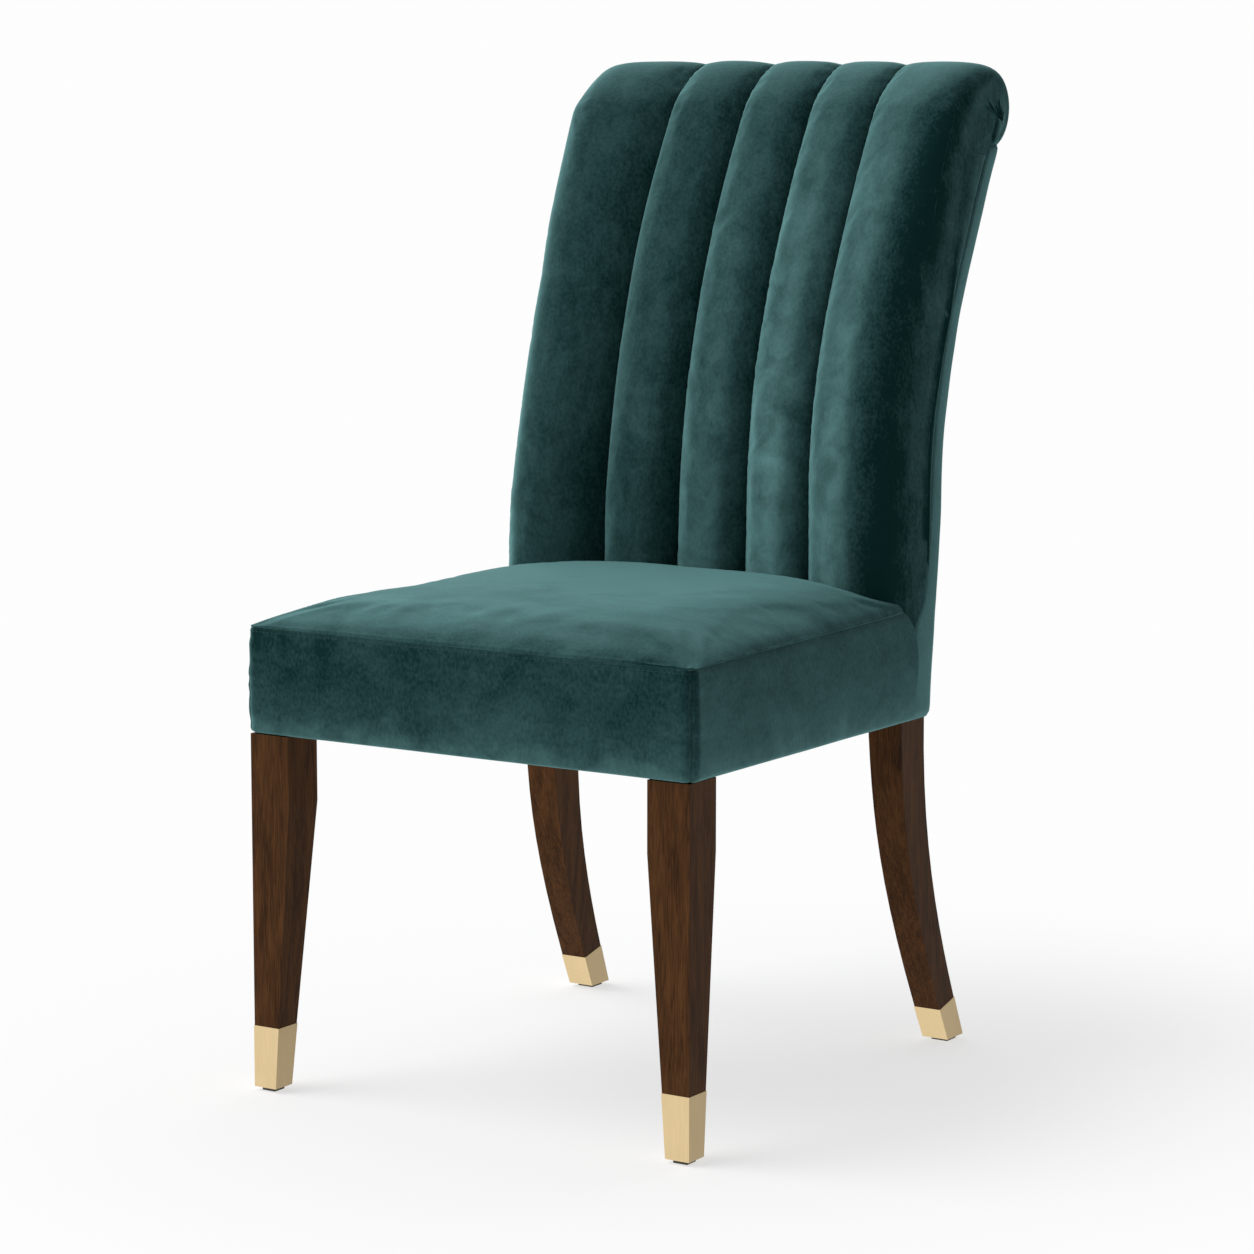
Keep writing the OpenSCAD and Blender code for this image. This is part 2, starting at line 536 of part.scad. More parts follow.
// --- Seat boxing and dust cover -----------------------------------------
boxing_top = seam_z - cover_t - gap;
turn_under = 26;                // the velvet is turned under the rails by this much
flange_t = 1.2;
module seat_boxing_front() color(velvet) {
    translate([0, 0, under_front + 0.4]) linear_extrude(boxing_top - under_front - 0.4) polygon([
        [-front_hw, seat_front], [front_hw, seat_front],
        [front_hw - boxing_t - gap, seat_front + boxing_t], [-front_hw + boxing_t + gap,
            seat_front + boxing_t]]);
    translate([-front_block_x[0] + 2, seat_front + 2, under_front + 0.4])
        cube([2 * front_block_x[0] - 4, turn_under, flange_t]);
}
// The rear edge leans back with the foot of the back's side band
boxing_edge = [[80, 470], [103, 446], [110, 418], [108, 392], [101, 340]];
module seat_boxing(side) color(velvet) right_or_left(side) intersection() {
    linear_extrude(boxing_top) polygon([
        [front_hw, seat_front + gap], [half_w(boxing_rear + 10), boxing_rear + 10],
        [half_w(boxing_rear + 10) - 3.2, boxing_rear + 10], [half_w(seat_front) - boxing_t - 0.7,
            seat_front + boxing_t + gap]]);
    side_cut(concat([[seat_front, under_z(seat_front)], [seat_front, boxing_top], [74, boxing_top]],
        boxing_edge), 200, 270);
    side_cut([[seat_front, under_z(seat_front)], [200, under_z(200)], [200, 480], [seat_front, 480]],
        200, 270);
}
dust_t = 0.8;
dust_y = [seat_front + 12, 122];
module dust_cover() color(black_c) intersection() {
    side_cut([[dust_y[0], under_z(dust_y[0]) + 2.2], [dust_y[1], under_z(dust_y[1]) + 2.2],
        [dust_y[1], under_z(dust_y[1]) + 2.2 + dust_t], [dust_y[0], under_z(dust_y[0]) + 2.2 + dust_t]],
            -240, 240);
    linear_extrude(400) difference() {
        polygon([[-rail_x(dust_y[0]) + 4, dust_y[0]], [rail_x(dust_y[0]) - 4, dust_y[0]],
            [rail_x(dust_y[1]) - 6, dust_y[1]], [-rail_x(dust_y[1]) + 6, dust_y[1]]]);
        for (side = [-1, 1]) right_or_left(side) {
            translate([front_block_x[0] - 2, -400]) square([100, 400 + front_block_y[1] + 2]);
            translate([rear_post_x[0] - 2, rail_y1 - 4]) square([100, 100]);
        }
    }
}
staple_w = 10;
// Crown of the staple lies under the cloth, its two legs point up
module staple(turn) rotate([0, 0, turn]) {
    translate([-staple_w / 2, -0.5, -0.6]) cube([staple_w, 1, 0.6]);
    for (x = [-staple_w / 2, staple_w / 2 - 0.8]) translate([x, -0.5, -0.1]) cube([0.8, 1, 5]);
}
module dust_cover_staples() color(steel_c) {
    for (x = steps(-180, 180, 8)) {
        translate([x, seat_front + 20, under_z(seat_front + 20) + 2.1]) staple(0);
        if (abs(x) < 170) translate([x, dust_y[1] - 8, under_z(dust_y[1] - 8) + 2.1]) staple(0);
    }
    for (y = steps(-266, 64, 6)) for (side = [-1, 1]) right_or_left(side)
        translate([side_rail_x(y) - 10, y, under_z(y) + 2.1]) staple(90);
}

// --- Padding of the back ------------------------------------------------
inner_hw = rear_post_x[1];      // the frame and foam are this wide on each side
web_z = [556, 648, 740, 832];
web_x = [-120, 0, 120];
web_w = 50;
module web_strip(near, far, z0, z1, x0, x1, nz, nx)
    bowed_strip(function (h) frame_front(h) - far, function (h) frame_front(h) - near, z0, z1, x0, x1,
        nz, nx);
module back_webbing() color(cloth_c) {
    for (z = web_z) web_strip(0.5, 1.7, z, z + web_w, -inner_hw + 8, inner_hw - 8, 2, 10);
    for (x = web_x) web_strip(1.9, 3.1, lower_rail_z[0] + 12, post_top - 14, x - web_w / 2,
        x + web_w / 2, 14, 1);
}
module webbing_staple(x, z) translate([x, frame_front(z) + rear_bow(z) * (1 - out(x)), z]) {
    translate([-5, -3.8, -0.5]) cube([10, 0.6, 1]);
    for (dx = [-5, 4.2]) translate([dx, -3.7, -0.5]) cube([0.8, 10, 1]);
}
module webbing_staples() color(steel_c) for (x = web_x) for (dx = [-15, 0, 15]) {
    webbing_staple(x + dx, 510);
    webbing_staple(x + dx, 892);
}
foam_xs = [-228.5, -222, -211, -197, -180, -140, -90, -45, 0, 45, 90, 140, 180, 197, 211, 222, 228.5];
foam_is = [1:back_steps - 1];
// Depth of the padding behind the channel seams; it draws back under the turned edges
function face_h(i, x) = min(0, rise_at(i) - turn_depth(i) * turn(x) - 7);
function face(depth) = [for (i = foam_is) [for (x = foam_xs) seam_point(i, x, face_h(i, x) - depth)]];
module back_foam() color(foam_c) skin_solid(face(3.4),
    [for (i = foam_is) let (z = min(post_top - 1, seam_path[i][1]))
        [for (x = foam_xs) [x, frame_front(z) + rear_bow(z) * (1 - out(x)) - 4.4, z]]]);
module back_lining() color(cloth_c) skin_solid(face(1.9), face(2.7));
module roll_foam() color(foam_c) skin_solid(
    [for (i = [back_steps:path_n]) [for (x = foam_xs) seam_point(i, x, face_h(i, x) / 2 - 2)]],
    [for (i = [back_steps:path_n]) let (d = unit(seam_path[i] - roll_c))
        [for (x = foam_xs) [x, roll_c[0] + (core_r + 1.4) * d[0] + roll_bend(x),
            roll_c[1] + (core_r + 1.4) * d[1]]]]);

// --- Channels -----------------------------------------------------------
seam_xs = [for (i = [-1.5:1:1.5]) i * channel_pitch];
channel_us = [for (a = steps(-90, 90, 8)) (1 + sin(a)) / 2];
module back_channel(k) {
    x0 = seam_xs[k] + 0.2;
    w = seam_xs[k + 1] - 0.2 - x0;
    color(velvet) skin_solid(
        [for (i = [0:path_n]) [for (u = channel_us)
            seam_point(i, x0 + w * u, rise_at(i) * sqrt(max(0, 1 - pow(abs(2 * u - 1), 2.2))))]],
        [for (i = [0:path_n]) [for (u = channel_us) seam_point(i, x0 + w * u, -1)]]);
}
// The outer channels rise from their inner seam and turn round the edge of the back
outer_x0 = 1.5 * channel_pitch + 0.2;
outer_xs = concat([for (a = steps(0, 90, 4)) turn_x - (turn_x - outer_x0) * cos(a)],
    [197, 211, 222, 228.5, 232.5, back_hw]);
function outer_h(i, x) = x < turn_x ? rise_at(i) * sqrt(max(0, 1 - pow((turn_x - x)
    / (turn_x - outer_x0), 2.2)))
    : rise_at(i) - turn_depth(i) * turn(x);
module outer_channel(side) color(velvet) right_or_left(side) skin_solid(
    [for (i = [0:path_n]) [for (x = outer_xs) seam_point(i, x, outer_h(i, x))]],
    [for (i = [0:path_n]) [for (x = outer_xs) x < turn_x ? seam_point(i, x, -1)
        : x > inner_hw + 0.5 ? flank_in(i, x) : seam_point(i, x, min(-1, outer_h(i, x) - 4))]]);
// The inside of the turned edge stays on the inner face of the flank
function flank_in(i, x) = let (p = seam_point(i, back_hw, outer_h(i, x))) [inner_hw + 0.5, p[1], p[2]];

// --- Flanks, roll ends and outside back ---------------------------------
flank_x = [inner_hw + 0.7, back_hw];
end_z = 905;
function band_front(z) = rear_line(z) - band_w(z);
// The flank narrows to a point between the seat boxing and the side band
flank_foot = [[111.6, 420], [105, 446]];
flank_is = [for (i = [1:back_steps]) if (edge_point(i)[1] < end_z - 4) i];
function edge_point(i) = let (p = seam_point(i, back_hw, edge_h(i) - 0.8)) [p[1], p[2]];
// Depth of the turned edge where the flank ends and the roll end begins
function flank_top(z) = let (a = edge_point(flank_is[len(flank_is) - 1]),
    b = edge_point(flank_is[len(flank_is) - 1] + 1))
    a[0] + (b[0] - a[0]) * (z - a[1]) / (b[1] - a[1]);
module side_wadding(side) color(velvet) right_or_left(side)
    side_cut(concat(flank_foot, [for (i = flank_is) edge_point(i)], [[flank_top(end_z - 1), end_z - 1]],
        [for (z = steps(end_z - 1, flank_foot[0][1], 18)) [band_front(z) - gap, z]]), flank_x[0], flank_x[1]);
module roll_end(side) color(velvet) right_or_left(side)
    side_cut(concat([[flank_top(end_z), end_z]], [for (i = [flank_is[len(flank_is) - 1] + 1:path_n])
        edge_point(i)]),
        flank_x[0], flank_x[1] + 1);
tab_c = [270, 939];
module roll_end_tab(side) color(velvet) right_or_left(side)
    translate([flank_x[1] + 1.2, tab_c[0], tab_c[1]]) rotate([-24, 0, 0]) rotate([0, 90, 0])
        linear_extrude(2.6) {
        square([16, 10], center = true);
        for (e = [-8, 8]) translate([e, 0]) circle(r = 5);
    }
module side_band(side) color(velvet_light) right_or_left(side) intersection() {
    back_strip(function (z) band_front(z), function (z) rear_line(z), under_front - under_drop + 0.5,
        915, flank_x[0], flank_x[1] + 1);
    side_cut([[60, 300], [400, 300], [400, end_z + 25], [264, end_z + 4], [60, end_z - 42]], 200, 270);
}
module outside_back_padding() color(foam_c) bowed_strip(function (z) rear_line(z) - 5.2,
    function (z) rear_line(z) - 2.8, 362, 900, -inner_hw, inner_hw, 14, 10);
module outside_back_cover() color(velvet) bowed_strip(function (z) rear_line(z) - 2, function (z)
    rear_line(z),
    under_front - under_drop + 0.5, 907, -inner_hw, inner_hw, 14, 10);

front_leg(-1);  // front_leg_left
front_leg(1);  // front_leg_right
rear_leg(-1);  // rear_leg_left
rear_leg(1);  // rear_leg_right
front_ferrule(-1);  // front_ferrule_left
front_ferrule(1);  // front_ferrule_right
rear_ferrule(-1);  // rear_ferrule_left
rear_ferrule(1);  // rear_ferrule_right
front_glide(-1);  // front_glide_left
front_glide(1);  // front_glide_right
rear_glide(-1);  // rear_glide_left
rear_glide(1);  // rear_glide_right
glide_nails();
ferrule_pins();
front_seat_rail();
rear_seat_rail();
side_seat_rail(-1);  // side_seat_rail_left
side_seat_rail(1);  // side_seat_rail_right
front_corner_block(-1);  // front_corner_block_left
front_corner_block(1);  // front_corner_block_right
rear_corner_block(-1);  // rear_corner_block_left
rear_corner_block(1);  // rear_corner_block_right
corner_block_screws();
rail_dowels();
back_rail(lower_rail_z);  // back_lower_rail
back_rail(top_rail_z);  // back_top_rail
back_rail_dowels();
roll_core();
roll_core_screws();
seat_springs();
spring_clips();
seat_deck();
seat_foam();
seat_cover_top();
seat_boxing_front();
seat_boxing(-1);  // seat_boxing_left
seat_boxing(1);  // seat_boxing_right
dust_cover();
dust_cover_staples();
back_webbing();
webbing_staples();
back_foam();
roll_foam();
back_lining();
outer_channel(-1);  // back_channel_1
back_channel(0);  // back_channel_2
back_channel(1);  // back_channel_3
back_channel(2);  // back_channel_4
outer_channel(1);  // back_channel_5
side_wadding(-1);  // side_wadding_left
side_wadding(1);  // side_wadding_right
roll_end(-1);  // roll_end_left
roll_end(1);  // roll_end_right
roll_end_tab(-1);  // roll_end_tab_left
roll_end_tab(1);  // roll_end_tab_right
side_band(-1);  // side_band_left
side_band(1);  // side_band_right
outside_back_padding();
outside_back_cover();
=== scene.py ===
import bmesh
import bpy
import json
import math
import numpy as np
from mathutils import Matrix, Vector, noise

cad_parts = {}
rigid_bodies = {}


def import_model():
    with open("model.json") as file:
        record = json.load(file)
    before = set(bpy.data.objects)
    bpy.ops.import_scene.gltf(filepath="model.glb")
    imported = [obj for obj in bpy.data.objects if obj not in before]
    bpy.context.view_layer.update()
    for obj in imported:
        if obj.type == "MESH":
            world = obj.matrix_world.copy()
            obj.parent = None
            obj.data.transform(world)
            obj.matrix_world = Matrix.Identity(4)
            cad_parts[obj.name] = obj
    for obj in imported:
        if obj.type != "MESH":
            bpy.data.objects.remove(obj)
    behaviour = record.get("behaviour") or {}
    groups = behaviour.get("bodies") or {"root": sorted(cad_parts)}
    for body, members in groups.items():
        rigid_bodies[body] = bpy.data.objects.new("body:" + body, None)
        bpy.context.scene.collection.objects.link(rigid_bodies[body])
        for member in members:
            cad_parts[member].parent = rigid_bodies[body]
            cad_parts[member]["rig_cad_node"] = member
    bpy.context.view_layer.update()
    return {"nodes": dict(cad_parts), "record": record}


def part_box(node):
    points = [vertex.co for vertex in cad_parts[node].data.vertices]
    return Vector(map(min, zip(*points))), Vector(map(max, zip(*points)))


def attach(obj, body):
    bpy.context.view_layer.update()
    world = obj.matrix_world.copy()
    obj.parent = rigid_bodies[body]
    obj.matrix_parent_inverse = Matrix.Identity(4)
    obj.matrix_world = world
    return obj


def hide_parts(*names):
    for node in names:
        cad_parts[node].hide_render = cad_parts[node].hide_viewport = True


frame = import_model()
scene = bpy.context.scene
scene.view_settings.view_transform = "Standard"


# Small helpers
def smooth(t):
    t = np.clip(t, 0, 1)
    return t * t * (3 - 2 * t)


def wander(points, scale, seed):
    shift = Vector((seed * 3.7, seed * 1.3, seed * 5.1))
    return np.array([noise.noise(Vector(p) * scale + shift) for p in points])


def skinFaces(rows, cols):
    size = rows * cols
    faces = []
    for i in range(rows - 1):
        for j in range(cols - 1):
            a = i * cols + j
            faces.append((a, a + cols, a + cols + 1, a + 1))
            faces.append((size + a, size + a + 1, size + a + cols + 1, size + a + cols))
    for i in range(rows - 1):
        a = i * cols
        b = a + cols - 1
        faces.append((a + cols, a, size + a, size + a + cols))
        faces.append((b, b + cols, size + b + cols, size + b))
    for j in range(cols - 1):
        b = (rows - 1) * cols + j
        faces.append((j, j + 1, size + j + 1, size + j))
        faces.append((b + 1, b, size + b, size + b + 1))
    return faces


def addPiece(name, verts, faces, material, nodes=()):
    mesh = bpy.data.meshes.new(name)
    mesh.from_pydata([tuple(float(c) for c in v) for v in verts], [], faces)
    mesh.materials.append(material)
    mesh.polygons.foreach_set("use_smooth", [True] * len(mesh.polygons))
    mesh.update()
    piece = bpy.data.objects.new(name, mesh)
    scene.collection.objects.link(piece)
    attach(piece, "root")
    if nodes:
        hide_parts(*nodes)
    return piece


def addSkin(name, outer, inner, material, nodes=(), flip=False):
    if flip:
        outer, inner = outer[:, ::-1], inner[:, ::-1]
    rows, cols = outer.shape[:2]
    verts = np.concatenate([outer.reshape(-1, 3), inner.reshape(-1, 3)])
    return addPiece(name, verts, skinFaces(rows, cols), material, nodes)


# How much lighter (above 0) or darker the velvet is painted at each point, mostly painted light and shade
# with some nap, stored on the points for the velvet to read
def paintNapAndLight(piece, values):
    field = piece.data.attributes.new("napAndPaintedLight", "FLOAT", "POINT")
    field.data.foreach_set("value", np.asarray(values, np.float32).ravel())


def hump(value, middle, width):
    return np.exp(-((value - middle) / width) ** 2)


def mirrored(grid):
    flipped = grid.copy()
    flipped[..., 0] *= -1
    return flipped


# Bakes a piece's modifiers into its mesh
def settle(piece):
    graph = bpy.context.evaluated_depsgraph_get()
    made = bpy.data.meshes.new_from_object(piece.evaluated_get(graph))
    piece.modifiers.clear()
    piece.data = made
    return made


def sideName(side):
    return "right" if side > 0 else "left"


# The points that the seams hold: rows at both ends, columns at both sides, and the whole lining
def seamPoints(rows, cols, ends, first, last, flip=False):
    index = np.arange(rows * cols).reshape(rows, cols)
    if flip:
        index = index[:, ::-1]
    edges = [index[:ends], index[-ends:], index[:, :first], index[:, last:]]
    return np.concatenate([e.ravel() for e in edges] + [np.arange(rows * cols, 2 * rows * cols)])


filling = {"quality": 5, "mass": 0.25, "stiffness": 18, "shear": 6, "bending": 0.4, "steps": 20}


# A cloth simulation that fills a piece from inside; its movement is held to a limit
def puff(piece, held, pressure, limit, growth, ease=1.0):
    rest = np.array([v.co for v in piece.data.vertices])
    group = piece.vertex_groups.new(name="held")
    group.add([int(i) for i in held], 1.0, "REPLACE")
    cloth = piece.modifiers.new("fill", "CLOTH")
    settings = cloth.settings
    settings.quality = filling["quality"]
    settings.mass = filling["mass"]
    settings.tension_stiffness = filling["stiffness"]
    settings.compression_stiffness = filling["stiffness"]
    settings.shear_stiffness = filling["shear"]
    settings.bending_stiffness = filling["bending"]
    settings.use_pressure = True
    settings.uniform_pressure_force = pressure
    settings.shrink_min = -growth
    settings.vertex_group_mass = "held"
    settings.effector_weights.gravity = 0
    cloth.point_cache.frame_start = 1
    cloth.point_cache.frame_end = filling["steps"]
    for step in range(1, filling["steps"] + 1):
        scene.frame_set(step)
    shaped = piece.evaluated_get(bpy.context.evaluated_depsgraph_get()).to_mesh()
    moved = np.array([v.co for v in shaped.vertices]) - rest
    piece.modifiers.remove(cloth)
    piece.vertex_groups.clear()
    scene.frame_set(1)
    length = np.linalg.norm(moved, axis=1, keepdims=True)
    moved *= ease * limit * np.tanh(length / limit) / np.maximum(length, 1e-9)
    piece.data.vertices.foreach_set("co", (rest + moved).ravel())
    piece.data.update()
    print("filled", piece.name, "moved up to", round(float(length.max()) * 1000, 1), "mm")


# Materials
def newMaterial(name):
    material = bpy.data.materials.new(name)
    material.use_nodes = True
    tree = material.node_tree
    return material, tree, tree.nodes["Principled BSDF"]


def addNode(tree, kind, **values):
    node = tree.nodes.new(kind)
    for key, value in values.items():
        if key in node.inputs:
            node.inputs[key].default_value = value
        else:
            setattr(node, key, value)
    return node


def objectNoise(tree, stretch, scale, detail, distortion=0.0):
    coords = addNode(tree, "ShaderNodeTexCoord")
    mapping = addNode(tree, "ShaderNodeMapping", Scale=stretch)
    pattern = addNode(tree, "ShaderNodeTexNoise", Scale=scale, Detail=detail, Distortion=distortion)
    tree.links.new(coords.outputs["Object"], mapping.inputs["Vector"])
    tree.links.new(mapping.outputs["Vector"], pattern.inputs["Vector"])
    return pattern.outputs["Fac"]


def remap(tree, value, low, high, outLow, outHigh, curve="LINEAR"):
    node = addNode(tree, "ShaderNodeMapRange", interpolation_type=curve)
    for socket, number in zip(("From Min", "From Max", "To Min", "To Max"), (low, high, outLow, outHigh)):
        node.inputs[socket].default_value = number
    tree.links.new(value, node.inputs["Value"])
    return node.outputs["Result"]


def combine(tree, operation, first, second, clamp=False):
    node = addNode(tree, "ShaderNodeMath", operation=operation, use_clamp=clamp)
    for socket, value in zip(node.inputs, (first, second)):
        if isinstance(value, (int, float)):
            socket.default_value = value
        else:
            tree.links.new(value, socket)
    return node.outputs[0]


def blendColour(tree, amount, first, second):
    node = addNode(tree, "ShaderNodeMix", data_type="RGBA")
    tree.links.new(amount, node.inputs[0])
    for socket, value in zip((node.inputs[6], node.inputs[7]), (first, second)):
        if isinstance(value, tuple):
            socket.default_value = (*value, 1)
        else:
            tree.links.new(value, socket)
    return node.outputs[2]


def addBump(tree, shader, height, strength, distance, under=None):
    node = addNode(tree, "ShaderNodeBump", Strength=strength, Distance=distance)
    tree.links.new(height, node.inputs["Height"])
    if under is not None:
        tree.links.new(under, node.inputs["Normal"])
    tree.links.new(node.outputs["Normal"], shader.inputs["Normal"])
    return node.outputs["Normal"]


# The velvet runs from the deep colour, its shaded look, to the light colour, which stands in for lit
# velvet and its sheen; random nap patches also move between them
velvetLook = {
    "deep": (0.0042, 0.0245, 0.0250), "napAndPaintedLight": (0.125, 0.270, 0.272), "roughness": 0.88, "specular": 0.04,
    "sheen": 0.035, "sheenRoughness": 0.38, "sheenTint": (0.40, 0.86, 0.88, 1),
}


def makeVelvet(name, lift, patchStrength, stretch):
    material, tree, shader = newMaterial(name)
    # Painted sheen: the base colour is painted lighter where the surface is seen edge-on
    edge = addNode(tree, "ShaderNodeLayerWeight", Blend=0.5).outputs["Facing"]
    edge = combine(tree, "POWER", edge, 2.1)
    patches = remap(tree, objectNoise(tree, (1, 1, 1), 9.0, 5.0, 1.2), 0.32, 0.70, -1.0, 1.0)
    strokes = remap(tree, objectNoise(tree, stretch, 26.0, 4.0, 0.6), 0.30, 0.72, -1.0, 1.0)
    speckle = remap(tree, objectNoise(tree, (1, 1, 0.7), 330.0, 5.0), 0.3, 0.7, -1.0, 1.0)
    fibres = remap(tree, objectNoise(tree, stretch, 110.0, 4.0, 0.4), 0.30, 0.70, -1.0, 1.0)
    # Painted light and shade stored on the points, with some nap
    napAndLight = addNode(tree, "ShaderNodeAttribute", attribute_name="napAndPaintedLight").outputs["Fac"]
    uneven = remap(tree, objectNoise(tree, (1, 1, 1), 30.0, 5.0, 0.8), 0.30, 0.70, 0.45, 1.45)
    amount = combine(tree, "ADD", edge, lift)
    amount = combine(tree, "ADD", amount, combine(tree, "MULTIPLY", napAndLight, uneven))
    strokes = combine(tree, "MULTIPLY", strokes, patchStrength * 0.7)
    patches = combine(tree, "ADD", combine(tree, "MULTIPLY", patches, patchStrength), strokes)
    amount = combine(tree, "ADD", amount, patches)
    amount = combine(tree, "ADD", amount, combine(tree, "MULTIPLY", fibres, 0.030))
    amount = combine(tree, "ADD", amount, combine(tree, "MULTIPLY", speckle, 0.060), clamp=True)
    colour = blendColour(tree, amount, velvetLook["deep"], velvetLook["napAndPaintedLight"])
    tree.links.new(colour, shader.inputs["Base Color"])
    shader.inputs["Roughness"].default_value = velvetLook["roughness"]
    shader.inputs["Specular IOR Level"].default_value = velvetLook["specular"]
    shader.inputs["Sheen Weight"].default_value = velvetLook["sheen"]
    shader.inputs["Sheen Roughness"].default_value = velvetLook["sheenRoughness"]
    shader.inputs["Sheen Tint"].default_value = velvetLook["sheenTint"]
    soft = addBump(tree, shader, objectNoise(tree, (1, 1, 1), 34.0, 4.0, 0.8), 0.28, 0.0012)
    addBump(tree, shader, objectNoise(tree, (1, 1, 1), 1500.0, 2.0), 0.32, 0.0004, soft)
    return material


def makeWood(name, dark, light, coat, stretch):
    material, tree, shader = newMaterial(name)
    grain = objectNoise(tree, stretch, 5.0, 9.0, 1.6)
    bands = objectNoise(tree, (stretch[0] * 0.28, stretch[1] * 0.28, stretch[2] * 0.6), 4.0, 3.0, 0.8)
    pores = objectNoise(tree, (stretch[0] * 6, stretch[1] * 6, stretch[2] * 1.4), 9.0, 3.0)
    bands = remap(tree, bands, 0.35, 0.68, 0.0, 0.42)
    amount = combine(tree, "ADD", remap(tree, grain, 0.34, 0.68, 0.0, 0.62), bands)
    amount = combine(tree, "SUBTRACT", amount, remap(tree, pores, 0.54, 0.72, 0.0, 0.35), clamp=True)
    tree.links.new(blendColour(tree, amount, dark, light), shader.inputs["Base Color"])
    rough = remap(tree, grain, 0.3, 0.7, 0.34, 0.50)
    tree.links.new(rough, shader.inputs["Roughness"])
    shader.inputs["Coat Weight"].default_value = coat
    shader.inputs["Coat Roughness"].default_value = 0.30
    shader.inputs["Specular IOR Level"].default_value = 0.05
    addBump(tree, shader, pores, 0.12, 0.0004)
    return material


def makeMetal(name, colour, roughness, stretch):
    material, tree, shader = newMaterial(name)
    lines = objectNoise(tree, stretch, 60.0, 4.0)
    cloud = objectNoise(tree, (1, 1, 1), 24.0, 3.0, 0.5)
    darker = tuple(c * 0.86 for c in colour)
    clouded = remap(tree, cloud, 0.35, 0.65, 0.0, 0.5)
    mixture = combine(tree, "ADD", remap(tree, lines, 0.3, 0.7, 0.0, 0.5), clouded, clamp=True)
    tree.links.new(blendColour(tree, mixture, darker, colour), shader.inputs["Base Color"])
    shader.inputs["Metallic"].default_value = 1.0
    rough = remap(tree, cloud, 0.3, 0.7, roughness - 0.04, roughness + 0.06)
    tree.links.new(rough, shader.inputs["Roughness"])
    shader.inputs["Anisotropic"].default_value = 0.35
    addBump(tree, shader, lines, 0.06, 0.0003)
    return material


def makePlain(name, colour, roughness, scale, weave=False):
    material, tree, shader = newMaterial(name)
    grainy = objectNoise(tree, (1, 1, 1), scale, 4.0)
    darker = tuple(c * 0.72 for c in colour)
    mottled = blendColour(tree, remap(tree, grainy, 0.3, 0.7, 0.0, 1.0), darker, colour)
    tree.links.new(mottled, shader.inputs["Base Color"])
    shader.inputs["Roughness"].default_value = roughness
    if weave:
        coords = addNode(tree, "ShaderNodeTexCoord")
        across = addNode(tree, "ShaderNodeTexWave", Scale=420.0, bands_direction="X")
        along = addNode(tree, "ShaderNodeTexWave", Scale=420.0, bands_direction="Y")
        tree.links.new(coords.outputs["Object"], across.inputs["Vector"])
        tree.links.new(coords.outputs["Object"], along.inputs["Vector"])
        woven = combine(tree, "MULTIPLY", across.outputs["Fac"], along.outputs["Fac"])
        addBump(tree, shader, woven, 0.5, 0.0005)
    else:
        addBump(tree, shader, grainy, 0.25, 0.0006)
    return material


velvetBack = makeVelvet("velvetBack", 0.050, 0.030, (1.0, 1.0, 0.30))
velvetSeat = makeVelvet("velvetSeat", 0.075, 0.070, (0.55, 1.0, 1.0))
velvetBoxing = makeVelvet("velvetBoxing", 0.055, 0.050, (0.45, 0.45, 1.0))
velvetBand = makeVelvet("velvetBand", 0.430, 0.050, (1.0, 1.0, 0.35))
walnut = makeWood("walnut", (0.030, 0.0125, 0.0045), (0.112, 0.046, 0.0150), 0.0, (60, 60, 4))
beech = makeWood("beech", (0.36, 0.23, 0.12), (0.60, 0.42, 0.25), 0.0, (6, 60, 60))
brass = makeMetal("brass", (0.86, 0.66, 0.37), 0.34, (14, 14, 0.5))
steel = makeMetal("steel", (0.62, 0.63, 0.65), 0.36, (4, 4, 4))
glidePlastic = makePlain("glidePlastic", (0.018, 0.018, 0.019), 0.5, 300.0)
foamLook = makePlain("foamLook", (0.74, 0.66, 0.47), 0.9, 500.0)
waddingLook = makePlain("waddingLook", (0.80, 0.79, 0.75), 0.95, 160.0)
calicoLook = makePlain("calicoLook", (0.70, 0.65, 0.54), 0.9, 300.0, True)
webbingLook = makePlain("webbingLook", (0.40, 0.32, 0.22), 0.8, 300.0, True)
dustLook = makePlain("dustLook", (0.022, 0.022, 0.024), 0.92, 700.0, True)
thread = makePlain("thread", (0.016, 0.060, 0.060), 0.7, 900.0)

looks = {
    "walnut_stain": walnut, "brass": brass, "glide_plastic": glidePlastic, "steel": steel,
    "frame_beech": beech, "foam": foamLook, "wadding": waddingLook, "calico": calicoLook,
    "webbing": webbingLook, "dust_cloth": dustLook, "velvet_back": velvetBack,
    "velvet_seat": velvetSeat, "velvet_boxing": velvetBoxing, "velvet_band": velvetBand,
}
hardEdges = {"walnut_stain": 0.0011, "brass": 0.0006, "glide_plastic": 0.0007}
for part in frame["record"]["subparts"]:
    node = frame["nodes"][part["node"]]
    slotName = part["material_slot"]
    node.data.materials.clear()
    node.data.materials.append(looks[slotName])
    node.data.polygons.foreach_set("use_smooth", [True] * len(node.data.polygons))
    node.data.set_sharp_from_angle(angle=math.radians(28))
    if slotName in hardEdges and "pin" not in part["node"]:
        bevel = node.modifiers.new("easedEdges", "BEVEL")
        bevel.width = hardEdges[slotName]
        bevel.segments = 2
        bevel.limit_method = "ANGLE"
        bevel.angle_limit = math.radians(35)
        bevel.harden_normals = True
print("stage: materials")

